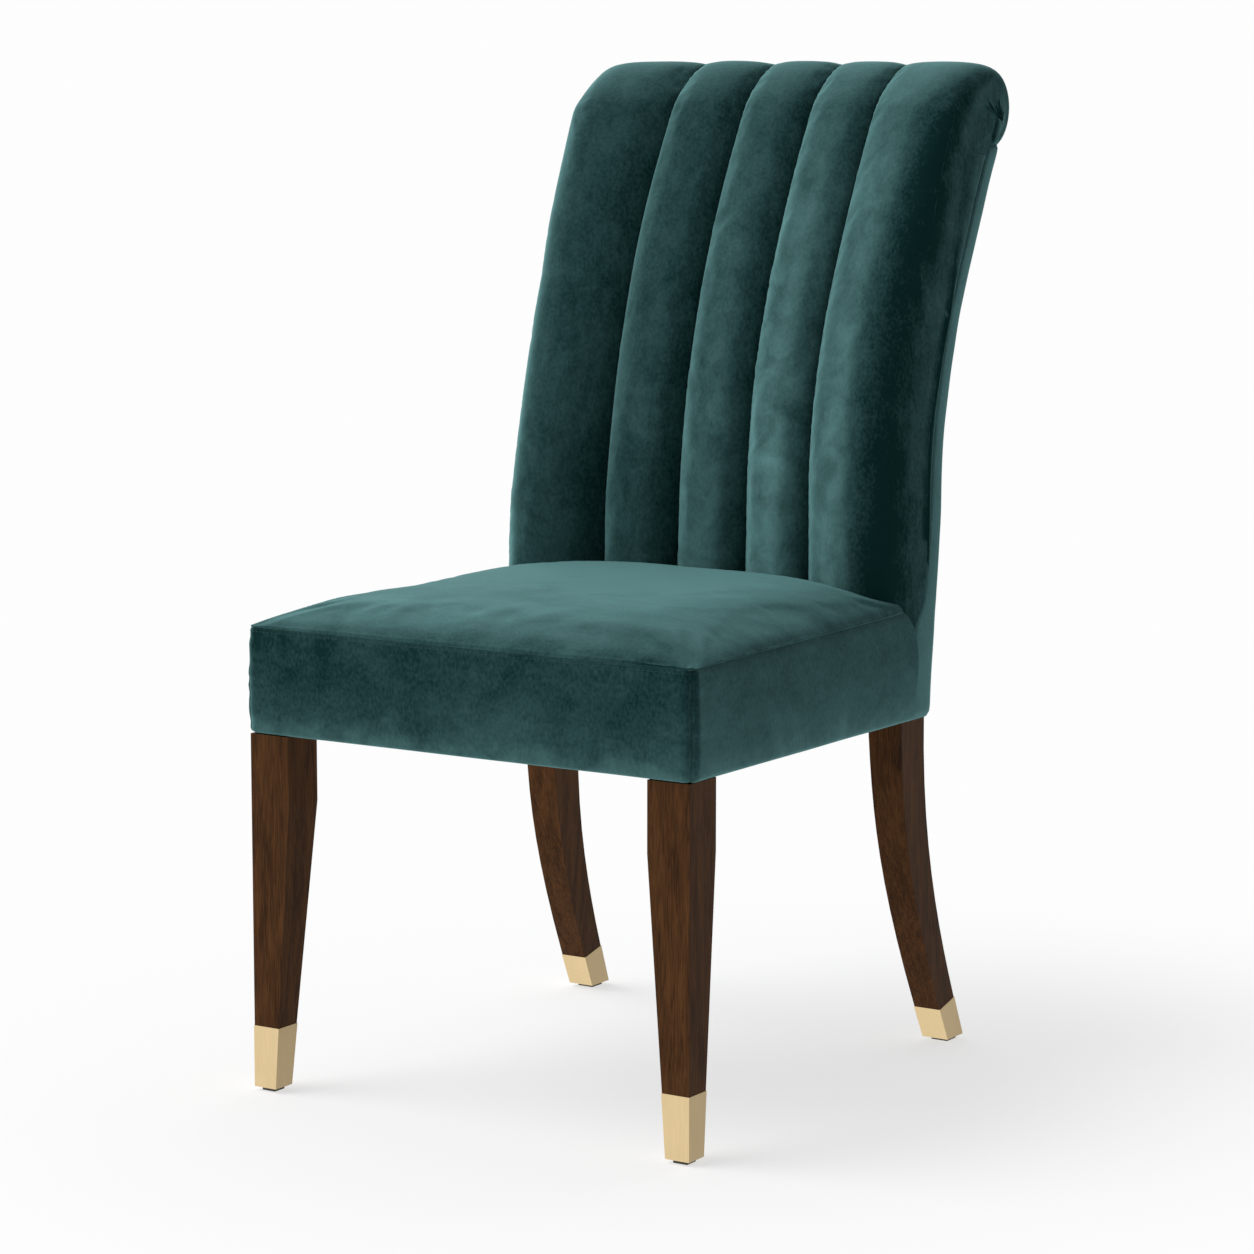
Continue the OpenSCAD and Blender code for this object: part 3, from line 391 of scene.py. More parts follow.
# The line of the channel seams, up the back and round the roll
coreLow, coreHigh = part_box("roll_core")
coreR = (coreHigh.z - coreLow.z) / 2
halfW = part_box("back_channel_5")[1].x
back = {
    "seamY": 0.1085, "bendZ": 0.540, "sweep": 0.1275, "sweepH": 0.420, "power": 1.93,
    "hollowLow": 0.0615, "hollowHigh": 0.048, "tuckZ": 0.440, "joinZ": 0.958, "rollR": 0.043,
    "rollY": coreHigh.y - coreR, "rollZ": (coreHigh.z + coreLow.z) / 2, "bow": 0.030,
    "rise": 0.020, "riseLoss": 0.004, "rollRise": 0.0045, "pull": 0.020, "tuckAngle": -106,
    "turnX": 0.178, "turnLow": 0.104, "turnLoss": 0.056, "turnEnd": 0.0165, "turnZ": 0.790,
    "squareness": 2.6, "pitch": 0.0815, "rows": 164,
}


def backY(z):
    share = np.clip(z - back["bendZ"], 0, None) / back["sweepH"]
    return back["seamY"] + back["sweep"] * share ** back["power"]


def makePath():
    zs = np.linspace(back["tuckZ"], back["joinZ"], 140)
    line = np.stack([backY(zs), zs], 1)
    join = line[-1]
    heading = line[-1] - line[-2]
    heading = heading / np.linalg.norm(heading)
    top = np.array([back["rollY"], back["rollZ"] + back["rollR"]])
    handles = [join, join + heading * back["pull"], top - [back["pull"], 0], top]
    t = np.linspace(0, 1, 24)[1:, None]
    weights = ((1 - t) ** 3, 3 * t * (1 - t) ** 2, 3 * t * t * (1 - t), t ** 3)
    bend = sum(handle * weight for handle, weight in zip(handles, weights))
    angles = np.radians(np.linspace(90, back["tuckAngle"], 60))[1:]
    ringY = back["rollY"] + back["rollR"] * np.cos(angles)
    ring = np.stack([ringY, back["rollZ"] + back["rollR"] * np.sin(angles)], 1)
    points = np.concatenate([line, bend, ring])
    share = np.concatenate([np.zeros(len(line)), t[:, 0], np.ones(len(ring))])
    upRatio = np.clip((points[:, 1] - back["tuckZ"]) / (back["joinZ"] - back["tuckZ"]), 0, 1)
    onBack = np.arange(len(points)) < len(line)
    lowHollow = back["hollowLow"] - (back["hollowLow"] - back["hollowHigh"]) * upRatio
    hollow = np.where(onBack, lowHollow, back["hollowHigh"] - (back["hollowHigh"] - back["bow"]) * share)
    topRise = back["rise"] - back["riseLoss"]
    rollRise = topRise - (topRise - back["rollRise"]) * share
    rise = np.where(onBack, back["rise"] - back["riseLoss"] * upRatio, rollRise)
    late = np.clip((points[:, 1] - back["turnZ"]) / (back["joinZ"] - back["turnZ"]), 0, 1)
    kept = back["turnLow"] - back["turnLoss"]
    rollTurn = kept * (1 - share) + back["turnEnd"] * share
    turn = np.where(onBack, back["turnLow"] - back["turnLoss"] * late, rollTurn)
    run = np.concatenate([[0], np.cumsum(np.linalg.norm(np.diff(points, axis=0), axis=1))])
    at = np.linspace(0, run[-1], back["rows"])
    lines = {"y": points[:, 0], "z": points[:, 1], "hollow": hollow, "rise": rise, "turn": turn}
    made = {name: np.interp(at, run, line) for name, line in lines.items()}
    made["run"] = at
    dy, dz = np.gradient(made["y"], at), np.gradient(made["z"], at)
    size = np.hypot(dy, dz)
    made["ny"], made["nz"] = -dz / size, dy / size
    return made


path = makePath()


def backGrid(xs, height):
    xs = np.broadcast_to(xs, height.shape)
    y = path["y"][:, None] + height * path["ny"][:, None] - path["hollow"][:, None] * (xs / halfW) ** 2
    z = path["z"][:, None] + height * path["nz"][:, None]
    return np.stack([xs, y, z], -1)


# The back is a little narrower half way up than at the seat and at the roll
def waist(grid):
    z = grid[..., 2]
    share = smooth((z - 0.54) / 0.12) * smooth((0.86 - z) / 0.14)
    grid[..., 0] *= 1 - 0.018 * share + 0.009 * smooth((0.60 - z) / 0.09)
    return grid


# Small tucks that run from a seam into the padding, strongest beside the seam
def tucks(run, distance, seed, reach, size):
    shape = np.zeros_like(run)
    for count, weight in ((61.0, 0.5), (97.0, 0.3), (171.0, 0.2)):
        shape += weight * np.sin(run * count + seed * count * 0.37 + 2.2 * np.sin(run * 13 + seed))
    return -size * np.clip(shape, 0, 1) * np.exp(-distance / reach)


# Painted light and shade across each channel: how much lighter it is painted beside its left seam, across
# its middle and near its right seam, and what is added lower down
channelShading = {
    "left": (0.15, 0.13, 0.13, 0.22, 0.06), "middle": (0.09, 0.11, 0.19, 0.32, 0.24),
    "right": (0.03, 0.01, 0.02, 0.07, 0.00), "lowLeft": (0.26, 0.16, 0.30, 0.16, 0.16),
    "lowMiddle": (0.08, 0.09, 0.20, 0.34, 0.20),
}


def shadingAcross(number, u, low):
    left = channelShading["left"][number - 1] + low * channelShading["lowLeft"][number - 1]
    middle = channelShading["middle"][number - 1] + low * channelShading["lowMiddle"][number - 1]
    right = channelShading["right"][number - 1]
    return left * hump(u, 0.07, 0.13) + middle * hump(u, 0.50, 0.30) + right * hump(u, 0.95, 0.16)


def makeChannel(number, x0, x1):
    u = (1 - np.cos(np.linspace(0, math.pi, 37))) / 2
    xs = x0 + (x1 - x0) * u
    fullness = np.sqrt(np.clip(1 - np.abs(2 * u - 1) ** 2.2, 0, 1))
    height = path["rise"][:, None] * fullness[None, :]
    run = np.repeat(path["run"][:, None], len(u), 1)
    side = np.minimum(u, 1 - u) * (x1 - x0)
    seed = number * 2.0 + (u > 0.5)[None, :] * 5
    height = height + tucks(run, side[None, :], seed, 0.010, 0.0010) * fullness[None, :]
    outer = backGrid(xs[None, :], height)
    soft = wander(outer.reshape(-1, 3), 11.0, number).reshape(height.shape)
    outer = backGrid(xs[None, :], height + soft * 0.0012 * fullness[None, :])
    inner = waist(backGrid(xs[None, :], np.full_like(height, -0.001)))
    outer = waist(outer)
    node = f"back_channel_{number}"
    nodes = (node, "back_lining", "back_foam", "roll_foam") if number == 3 else (node,)
    piece = addSkin(f"channel{number}", outer, inner, velvetBack, nodes, flip=True)
    # Painted light and shade across the channel, more of it lower down and less near the top
    low = smooth((0.80 - outer[..., 2]) / 0.26) * smooth((outer[..., 2] - 0.43) / 0.06)
    top = 1 - 0.62 * smooth((outer[..., 2] - 0.82) / 0.14)
    field = (shadingAcross(number, u[None, :], low) * top)[:, ::-1]
    paintNapAndLight(piece, np.concatenate([field, field]))
    puff(piece, seamPoints(*height.shape, 3, 2, -2), 3.0, 0.0014, 0.008)


# How far back the rear of the chair lies at a height, and how wide the side band is there
rear = {
    "low": 0.340, "height": 0.550, "y": 0.144, "lean": 0.038, "sweep": 0.081,
    "bandWide": 0.022, "flare": 0.019, "flareZ": 0.650, "flareH": 0.300,
}


def rearY(z):
    t = (np.asarray(z) - rear["low"]) / rear["height"]
    return rear["y"] + rear["lean"] * t + rear["sweep"] * t ** 3


def bandWidth(z):
    below = np.clip(rear["flareZ"] - np.asarray(z), 0, None) / rear["flareH"]
    return rear["bandWide"] + rear["flare"] * below ** 2


seamInset = 0.0002
for number in (2, 3, 4):
    left = (number - 3.5) * back["pitch"] + seamInset
    makeChannel(number, left, left + back["pitch"] - 2 * seamInset)

# The outer channels run on round the edge of the back and along the flank to the side band
flank = {"endZ": 0.911, "rollDepth": 0.004, "wall": 0.0055, "heldColumns": 5, "easeColumns": 10}


# How far round the edge of the back the padding has turned, 0 on the face and 1 on the flank
def turnShare(t):
    return 1 - np.clip(1 - t ** back["squareness"], 0, 1) ** (1 / back["squareness"])


def makeOuterChannel(side, nodes):
    firstX = 1.5 * back["pitch"] + seamInset
    a = np.linspace(0, math.pi / 2, 20)
    rising = back["turnX"] - (back["turnX"] - firstX) * np.cos(a)
    b = np.linspace(0, math.pi / 2, 26)[1:]
    turning = back["turnX"] + (halfW - back["turnX"]) * np.sin(b)
    xs = np.concatenate([rising, turning])
    t = np.clip((xs - back["turnX"]) / (halfW - back["turnX"]), 0, 1)
    toSeam = np.clip(back["turnX"] - xs, 0, None) / (back["turnX"] - firstX)
    full = np.sqrt(np.clip(1 - toSeam ** 2.2, 0, 1))
    height = path["rise"][:, None] * full - path["turn"][:, None] * turnShare(t)
    run = np.repeat(path["run"][:, None], len(xs), 1)
    tuck = tucks(run, np.clip(xs - firstX, 0, None)[None, :], 7.0 + side, 0.010, 0.0010) * full
    outer = backGrid(xs[None, :], height + tuck)
    soft = wander(outer.reshape(-1, 3), 10.0, 9 + side).reshape(height.shape)
    outer = backGrid(xs[None, :], height + tuck + soft * 0.0016 * full)
    edge = outer[:, -1]
    high = np.argmax(edge[:, 2] > flank["endZ"])
    # columns behind the edge, along the flank as far as the seam with the side band
    reach = np.linspace(0, 1, 22)[1:]
    target = rearY(edge[:, 2]) - bandWidth(edge[:, 2]) + 0.0006
    rolling = np.arange(len(edge)) > high
    depth = np.where(rolling, flank["rollDepth"], np.clip(target - edge[:, 1], 0.002, None))
    extra = np.repeat(edge[:, None], len(reach), 1)
    inward = np.stack([-path["ny"], -path["nz"]], 1)
    onRoll = rolling[:, None]
    extra[..., 1] += depth[:, None] * reach * np.where(onRoll, inward[:, :1], 1.0)
    extra[..., 2] += depth[:, None] * reach * np.where(onRoll, inward[:, 1:], 0.0)
    dip = np.clip((reach - 0.86) / 0.14, 0, 1) ** 2 * 0.0018
    inset = 0.0003 + 0.0022 * np.clip((reach - 0.5) / 0.5, 0, 1) ** 2
    extra[..., 0] = np.where(onRoll, halfW - inset, halfW - dip + 0.0012 * np.sin(reach * math.pi))
    outer = np.concatenate([outer, extra], 1)
    wall = halfW - flank["wall"]
    inner = outer.copy()
    count = len(xs)
    inner[:, :count] = backGrid(xs[None, :], np.minimum(-0.001, height - 0.004 * (xs > back["turnX"])))
    inner[:, :count, 0] = np.minimum(inner[:, :count, 0], wall)
    inner[:, count:, 0] = wall
    lastTurn = xs > wall
    inner[:, :count][:, lastTurn] = outer[:, :count][:, lastTurn]
    inner[:, :count, 0] = np.minimum(inner[:, :count, 0], wall)
    outer, inner = waist(outer), waist(inner)
    if side < 0:
        outer, inner = mirrored(outer), mirrored(inner)
    name = "channel5" if side > 0 else "channel1"
    piece = addSkin(name, outer, inner, velvetBack, nodes, flip=side > 0)
    # Painted light and shade across the channel; on the right it is painted darker where it turns round
    # the edge, and the flank is painted in shade
    across = (np.abs(outer[..., 0]) - firstX) / (halfW - firstX)
    low = smooth((0.80 - outer[..., 2]) / 0.26) * smooth((outer[..., 2] - 0.43) / 0.06)
    top = 1 - 0.55 * smooth((outer[..., 2] - 0.86) / 0.10)
    if side > 0:
        field = shadingAcross(5, across * 1.35, low) * top - 0.12 * smooth((across - 0.70) / 0.28)
        field[:, count:] = -0.12
        field = field[:, ::-1]
    else:
        field = shadingAcross(1, 1 - across, low)
    paintNapAndLight(piece, np.concatenate([field, field]))
    rows, cols = outer.shape[:2]
    heldFrom = count - flank["heldColumns"]
    held = seamPoints(rows, cols, 3, 2, heldFrom, flip=side > 0)
    # the filling dies away before the flank, so that no line shows where the cloth is held
    fading = smooth((heldFrom - np.arange(cols)) / flank["easeColumns"])
    fading = fading[::-1] if side > 0 else fading
    ease = np.concatenate([np.tile(fading, rows), np.zeros(rows * cols)])[:, None]
    puff(piece, held, 3.0, 0.0015, 0.007, ease)
    return edge, high


edgeRight, highIndex = makeOuterChannel(1, ("back_channel_5", "side_wadding_right"))
makeOuterChannel(-1, ("back_channel_1", "side_wadding_left"))
print("stage: channels")

# Seat top
boxLow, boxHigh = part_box("seat_boxing_front")
seat = {
    "front": boxLow.y, "frontHalf": boxHigh.x, "rearHalf": 0.239, "boxRear": 0.102, "seamZ": 0.466,
    "crown": 0.029, "rearStop": 0.080, "underFront": 0.360, "underDrop": 0.008, "turnIn": 0.85,
    "corner": 0.012, "inset": 0.0012,
}


def seatHalf(y):
    span = seat["boxRear"] - seat["front"]
    return seat["frontHalf"] - (seat["frontHalf"] - seat["rearHalf"]) * (y - seat["front"]) / span


def underZ(y):
    return seat["underFront"] - seat["underDrop"] * (y - seat["front"]) / (rear["y"] - seat["front"])


def seatRear(x):
    t = np.clip((np.abs(x) - back["turnX"]) / (halfW - back["turnX"]), 0, 1)
    hollow = back["hollowLow"] * np.minimum(1, (x / halfW) ** 2)
    line = back["seamY"] - back["rise"] - hollow + seat["turnIn"] * back["turnLow"] * turnShare(t)
    return np.minimum(seat["rearStop"], line)


def makeSeat():
    rows, cols = 96, 110
    u = np.sin(np.linspace(-math.pi / 2, math.pi / 2, cols))[None, :]
    v = (np.linspace(0, 1, rows) ** 1.5)[:, None]
    frontY = seat["front"] + seat["inset"]
    y = frontY + (seatRear(u * seat["rearHalf"]) + 0.002 - frontY) * v
    x = u * (seatHalf(y) - seat["inset"])
    # the corners of the top panel are rounded a little in plan
    corner = seat["corner"]
    cornerX = np.clip(np.abs(x) - (seatHalf(y) - corner), 0, corner)
    cornerY = np.clip(frontY + corner - y, 0, corner)
    pull = np.maximum(0, np.hypot(cornerX, cornerY) - corner)
    size = np.maximum(np.hypot(cornerX, cornerY), 1e-9)
    x = x - np.sign(x) * pull * cornerX / size
    y = y + pull * cornerY / size
    liftAcross = np.sqrt(np.clip(1 - np.abs(u) ** 4, 0, 1))
    liftAlong = np.sqrt(np.clip(1 - np.clip(1 - v / 0.4, 0, None) ** 3, 0, 1))
    z = seat["seamZ"] - seat["inset"] + seat["crown"] * (liftAcross * liftAlong)
    top = np.stack([x, y, z], -1)
    side = np.minimum(seatHalf(y) - np.abs(x), y - frontY)
    run = np.where(seatHalf(y) - np.abs(x) < y - frontY, y, x)
    top[..., 2] += tucks(run, side, 3.0, 0.012, 0.0011) * smooth(side / 0.006)
    soft = wander(top.reshape(-1, 3), 9.0, 4).reshape(rows, cols)
    fine = wander(top.reshape(-1, 3), 26.0, 6).reshape(rows, cols)
    top[..., 2] += (soft * 0.0018 + fine * 0.0007) * smooth(side / 0.02)
    base = top.copy()
    base[..., 0] *= 0.985
    base[..., 1] = frontY + 0.006 + (base[..., 1] - frontY) * 0.975
    base[..., 2] = seat["seamZ"] - 0.006
    nodes = ("seat_cover_top", "seat_foam")
    piece = addSkin("seatCushion", top, base, velvetSeat, nodes, flip=True)
    # Painted light and shade on the seat: painted reflection of the bright studio towards the rear and
    # left, a lighter band near the front, and painted shade to the right
    paintedRearLight = 0.40 * smooth((y + 0.22) / 0.24) * (1 - smooth((x - 0.02) / 0.16))
    frontLight = 0.10 * hump(y, seat["front"] + 0.07, 0.035) * smooth((0.12 - x) / 0.1)
    field = (0.08 + paintedRearLight - 0.14 * smooth((x - 0.10) / 0.10) + frontLight)[:, ::-1]
    paintNapAndLight(piece, np.concatenate([field, field]))
    puff(piece, seamPoints(rows, cols, 2, 2, -2), 4.0, 0.0017, 0.006)


makeSeat()
print("stage: seat")

# Boxing round the seat, in three panels that meet at the front corners
boxing = {
    "corner": 0.012, "thick": 0.007, "bulge": 0.0022, "sideEnd": 0.095,
    "rearEdge": ((0.080, 0.470), (0.103, 0.446), (0.110, 0.418), (0.108, 0.392), (0.101, 0.340)),
}
# Height as a share of the panel, and how far that line of cloth lies inside the outer face
boxingRows = [(-0.004, 0.013), (-0.006, 0.008), (0.0, 0.0030), (0.012, 0.0010), (0.035, 0.0002)]
boxingRows += [(s, 0.0) for s in np.linspace(0.06, 0.93, 26)]
boxingRows += [(0.955, 0.0003), (0.978, 0.0011), (0.992, 0.0024), (1.0, 0.0042)]
rearZs = np.array([p[1] for p in boxing["rearEdge"]])[::-1]
rearYs = np.array([p[0] for p in boxing["rearEdge"]])[::-1]


def boxingPanel(name, kind, node):
    r = boxing["corner"]
    corner = np.linspace(0, 1, 12)
    if kind == "front":
        flat = np.linspace(-1, 1, 90) * (seat["frontHalf"] - r)
        bend = np.radians(corner[1:] * 45)
        endX = seat["frontHalf"] - r + r * np.sin(bend)
        endY = seat["front"] + r * (1 - np.cos(bend))
        px = np.concatenate([-endX[::-1], flat, endX])
        py = np.concatenate([endY[::-1], np.full(90, seat["front"]), endY])
        nx = np.concatenate([-np.sin(bend[::-1]), np.zeros(90), np.sin(bend)])
        ny = -np.sqrt(1 - nx ** 2)
    else:
        bend = np.radians(45 + corner * 45)
        px = seat["frontHalf"] - r + r * np.sin(bend)
        py = seat["front"] + r * (1 - np.cos(bend))
        along = np.linspace(0, 1, 80)[1:]
        sideY = seat["front"] + r + along * (boxing["sideEnd"] - seat["front"] - r)
        px = np.concatenate([px, seatHalf(sideY)])
        py = np.concatenate([py, sideY])
        nx = np.concatenate([np.sin(bend), np.ones(len(along))])
        ny = -np.sqrt(1 - nx ** 2)
    rows, cols = len(boxingRows), len(px)
    outer = np.zeros((rows, cols, 3))
    inner = np.zeros((rows, cols, 3))
    cut = r * (1 - math.sqrt(0.5))
    seamAt = np.abs(np.abs(px) - (seat["frontHalf"] - cut)) + np.abs(py - (seat["front"] + cut))
    groove = 0.0022 * np.exp(-(seamAt / 0.0028) ** 2)
    for i, (share, inset) in enumerate(boxingRows):
        y = py.copy()
        bottom = underZ(py)
        z = bottom + (seat["seamZ"] - 0.0006 - bottom) * share
        if kind == "side":
            end = np.interp(z, rearZs, rearYs)
            t = np.clip((py - (seat["front"] + r)) / (boxing["sideEnd"] - seat["front"] - r), 0, 1)
            y = py + t * (end - boxing["sideEnd"])
        x = np.sign(px) * np.where(kind == "side", seatHalf(y) - (seatHalf(py) - np.abs(px)), np.abs(px))
        swell = boxing["bulge"] * math.sin(math.pi * min(1, max(0, share))) ** 0.8
        ripple = np.sin(share * 34 + 1.5 * np.sin(share * 13))
        pucker = 0.0006 * np.exp(-seamAt / 0.022) * ripple * (seamAt > 0.001)
        push = swell - inset - groove + pucker
        outer[i] = np.stack([x + nx * push, y + ny * push, z], -1)
        deep = np.maximum(boxing["thick"], inset + 0.0012)
        inner[i] = np.stack([x - nx * deep, y - ny * deep, z + (0.0016 if share < 0.02 else 0.0)], -1)
    flatPoints = outer.reshape(-1, 3)
    soft = wander(flatPoints, 11.0, 21) * 0.0008 + wander(flatPoints, 40.0, 23) * 0.0002
    soft = soft.reshape(rows, cols)
    outer[..., 0] += nx * soft
    outer[..., 1] += ny * soft
    onLeft = node.endswith("left")
    if onLeft:
        outer, inner = mirrored(outer), mirrored(inner)
    piece = addSkin(name, outer, inner, velvetBoxing, (node,), flip=not onLeft)
    shares = np.array([row[0] for row in boxingRows])[:, None]
    # Painted shade on the right end of the front panel and on the side panels; the panels are lighter
    # towards their bottom edge
    away = 0.05 * smooth((px - 0.08) / 0.12) if kind == "front" else np.full(cols, 0.04)
    field = 0.26 * hump(shares, 0.02, 0.16) + 0.08 * hump(shares, 0.30, 0.2) - away
    paintNapAndLight(piece, np.concatenate([field, field]))
    return outer


frontGrid = boxingPanel("boxingFront", "front", "seat_boxing_front")
rightGrid = boxingPanel("boxingRight", "side", "seat_boxing_right")
boxingPanel("boxingLeft", "side", "seat_boxing_left")
print("stage: boxing")

# Side bands
band = {
    "low": 0.3525, "outX": 0.2362, "thick": 0.0062, "rollR": 0.0370, "topZ": 0.926, "lapped": 0.014,
    "sewLow": 0.362, "sewHigh": 0.895,
}


# The band runs up under the roll and follows its underside
def bandTop(y):
    offset = y - (back["rollY"] - back["bow"])
    return back["rollZ"] - np.sqrt(np.clip(band["rollR"] ** 2 - offset ** 2, 0.0002, None))


def makeBand(side):
    rows = 120
    profile = [(0.0, 0.0042), (0.02, 0.0018), (0.06, 0.0006)]
    profile += [(s, 0.0) for s in np.linspace(0.12, 0.80, 12)]
    profile += [(0.88, 0.0004), (0.94, 0.0014), (0.98, 0.0030), (1.0, 0.0056)]
    share = np.array([p[0] for p in profile])
    inset = np.array([p[1] for p in profile])
    v = np.linspace(0, 1, rows)
    z0 = band["low"] + (band["topZ"] - band["low"]) * v
    wide = bandWidth(z0) + band["lapped"] * smooth((0.475 - z0) / 0.03)
    y = (rearY(z0) - wide)[:, None] + wide[:, None] * share[None, :]
    z = np.minimum(z0[:, None], bandTop(y))
    endDip = 0.0036 * (np.exp(-(z0 - z0[0]) / 0.003) + np.exp(-(z0[-1] - z0) / 0.003))
    x = band["outX"] - inset[None, :] - endDip[:, None] + 0.0010 * np.sin(math.pi * share)[None, :]
    outer = np.stack([x, y, z], -1)
    soft = wander(outer.reshape(-1, 3), 22.0, 31 + side).reshape(x.shape)
    outer[..., 0] += soft * 0.0007
    inner = outer.copy()
    inner[..., 0] = band["outX"] - band["thick"]
    outer, inner = waist(outer), waist(inner)
    if side < 0:
        outer, inner = mirrored(outer), mirrored(inner)
    name = sideName(side)
    nodes = (f"side_band_{name}",)
    piece = addSkin(f"{name}SideBand", outer, inner, velvetBand, nodes, flip=side > 0)


makeBand(1)
makeBand(-1)

# Outside back
outside = {"halfW": 0.2300, "low": 0.3525, "high": 0.9230, "thick": 0.0022}


def makeOutsideBack():
    rows, cols = 110, 90
    v = np.linspace(0, 1, rows)[:, None]
    u = np.sin(np.linspace(-1, 1, cols) * math.pi / 2)[None, :]
    x = u * outside["halfW"] + v * 0
    z = outside["low"] + (outside["high"] - outside["low"]) * v + 0 * u
    bow = back["bow"] * np.clip((z - 0.430) / 0.400, 0, 1)
    y = rearY(z) + bow * (1 - (x / halfW) ** 2)
    edge = np.minimum(outside["halfW"] - np.abs(x), np.minimum(z - outside["low"], outside["high"] - z))
    y = y - 0.0022 * np.exp(-edge / 0.0016) + 0.0012 * smooth(edge / 0.03)
    flatPoints = np.stack([x, y, z], -1).reshape(-1, 3)
    y = y + (wander(flatPoints, 8.0, 41) * 0.0012 + wander(flatPoints, 25.0, 43) * 0.0004).reshape(x.shape)
    y = y + tucks(z, outside["halfW"] - np.abs(x), 5.0, 0.012, 0.0008)
    outer = np.stack([x, y, z], -1)
    inner = outer.copy()
    inner[..., 1] = y - outside["thick"] - 0.002 * (edge > 0.004)
    outer, inner = waist(outer), waist(inner)
    nodes = ("outside_back_cover", "outside_back_padding")
    piece = addSkin("outsideBack", outer, inner, velvetBand, nodes)


makeOutsideBack()
print("stage: outside back")

# Gathered ends of the roll
gather = {
    "centre": (0.2765, 0.9475), "depth": 0.0020, "dome": 0.0026, "endAngle": -112, "back": 0.0045,
    # each crease: its angle, its width, how far out it reaches and how deep it is
    "creases": (
        (2.35, 0.050, 0.80, 1.0), (1.95, 0.045, 0.55, 0.8), (1.55, 0.050, 0.62, 1.0),
        (1.18, 0.050, 0.50, 0.9), (0.80, 0.055, 0.60, 1.0), (0.35, 0.060, 0.55, 0.9),
        (-0.10, 0.060, 0.60, 1.0), (-0.60, 0.060, 0.50, 0.8), (2.80, 0.060, 0.42, 0.7),
        (-1.10, 0.070, 0.50, 0.8), (3.30, 0.070, 0.30, 0.6), (-1.6, 0.08, 0.5, 0.8),
    ),
}


def makeRollEnd(side):
    rim = edgeRight[highIndex:, 1:3]
    hub = np.array([back["rollY"] - back["bow"], back["rollZ"]])
    radius = np.linalg.norm(rim[-1] - hub)
    first = math.atan2(rim[-1, 1] - hub[1], rim[-1, 0] - hub[0])
    angles = np.linspace(first, math.radians(gather["endAngle"]), 20)[1:]
    under = hub + radius * np.stack([np.cos(angles), np.sin(angles)], 1)
    foot = np.array([rearY(flank["endZ"]) - bandWidth(flank["endZ"]), flank["endZ"] - 0.001])
    loop = np.concatenate([rim, under, [foot]])
    closed = np.concatenate([loop, loop[:1]])
    count = 300
    run = np.concatenate([[0], np.cumsum(np.linalg.norm(np.diff(closed, axis=0), axis=1))])
    at = np.linspace(0, run[-1], count + 1)[:-1]
    ring = np.stack([np.interp(at, run, closed[:, 0]), np.interp(at, run, closed[:, 1])], 1)
    centre = np.array(gather["centre"])
    angle = np.unwrap(np.arctan2(ring[:, 1] - centre[1], ring[:, 0] - centre[0]))
    rings = []
    for r in np.linspace(0, 1, 40)[:0:-1]:
        x = halfW + gather["dome"] * (1 - r * r) ** 2 - 0.0014 * math.exp(-r / 0.09)
        fold = np.zeros(count)
        for spot, width, extent, depth in gather["creases"]:
            bend = spot + 0.22 * (r - 0.4) * (1 if spot > 1 else -1)
            away = (angle - bend + math.pi) % (2 * math.pi) - math.pi
            wide = width * (0.75 + 0.5 * r)
            strength = depth * smooth((extent - r) / 0.30) * smooth(r / 0.10)
            shoulder = 0.45 * np.exp(-((np.abs(away) - 2.1 * wide) / (1.3 * wide)) ** 2)
            fold += strength * (-np.exp(-(away / wide) ** 2) + shoulder)
        spot = centre + (ring - centre) * r
        rings.append(np.stack([x + gather["depth"] * fold * min(1, r / 0.25), spot[:, 0], spot[:, 1]], 1))
    rings = rings[::-1]
    middle = np.array([[halfW - 0.0022, centre[0], centre[1]]])
    rearRing = rings[-1].copy()
    rearRing[:, 0] = halfW - gather["back"]
    rearMiddle = np.array([[halfW - gather["back"], centre[0], centre[1]]])
    verts = waist(np.concatenate([middle] + rings + [rearRing, rearMiddle]))
    if side < 0:
        verts[:, 0] *= -1
    faces = []
    total = len(rings)
    for j in range(count):
        k = (j + 1) % count
        faces.append((0, 1 + j, 1 + k))
        for i in range(total):
            a, b = 1 + i * count, 1 + (i + 1) * count
            faces.append((a + j, b + j, b + k, a + k))
        faces.append((1 + total * count + j, len(verts) - 1, 1 + total * count + k))
    name = sideName(side)
    piece = addPiece(f"{name}RollEnd", verts, faces, velvetBack, (f"roll_end_{name}",))
    # Painted shade: the roll end is painted darker, like the flank
    paintNapAndLight(piece, np.full(len(verts), -0.12))


tab = {"tilt": 24, "half": 0.0135, "wide": 0.0052, "thick": 0.0030, "proud": 0.0024}


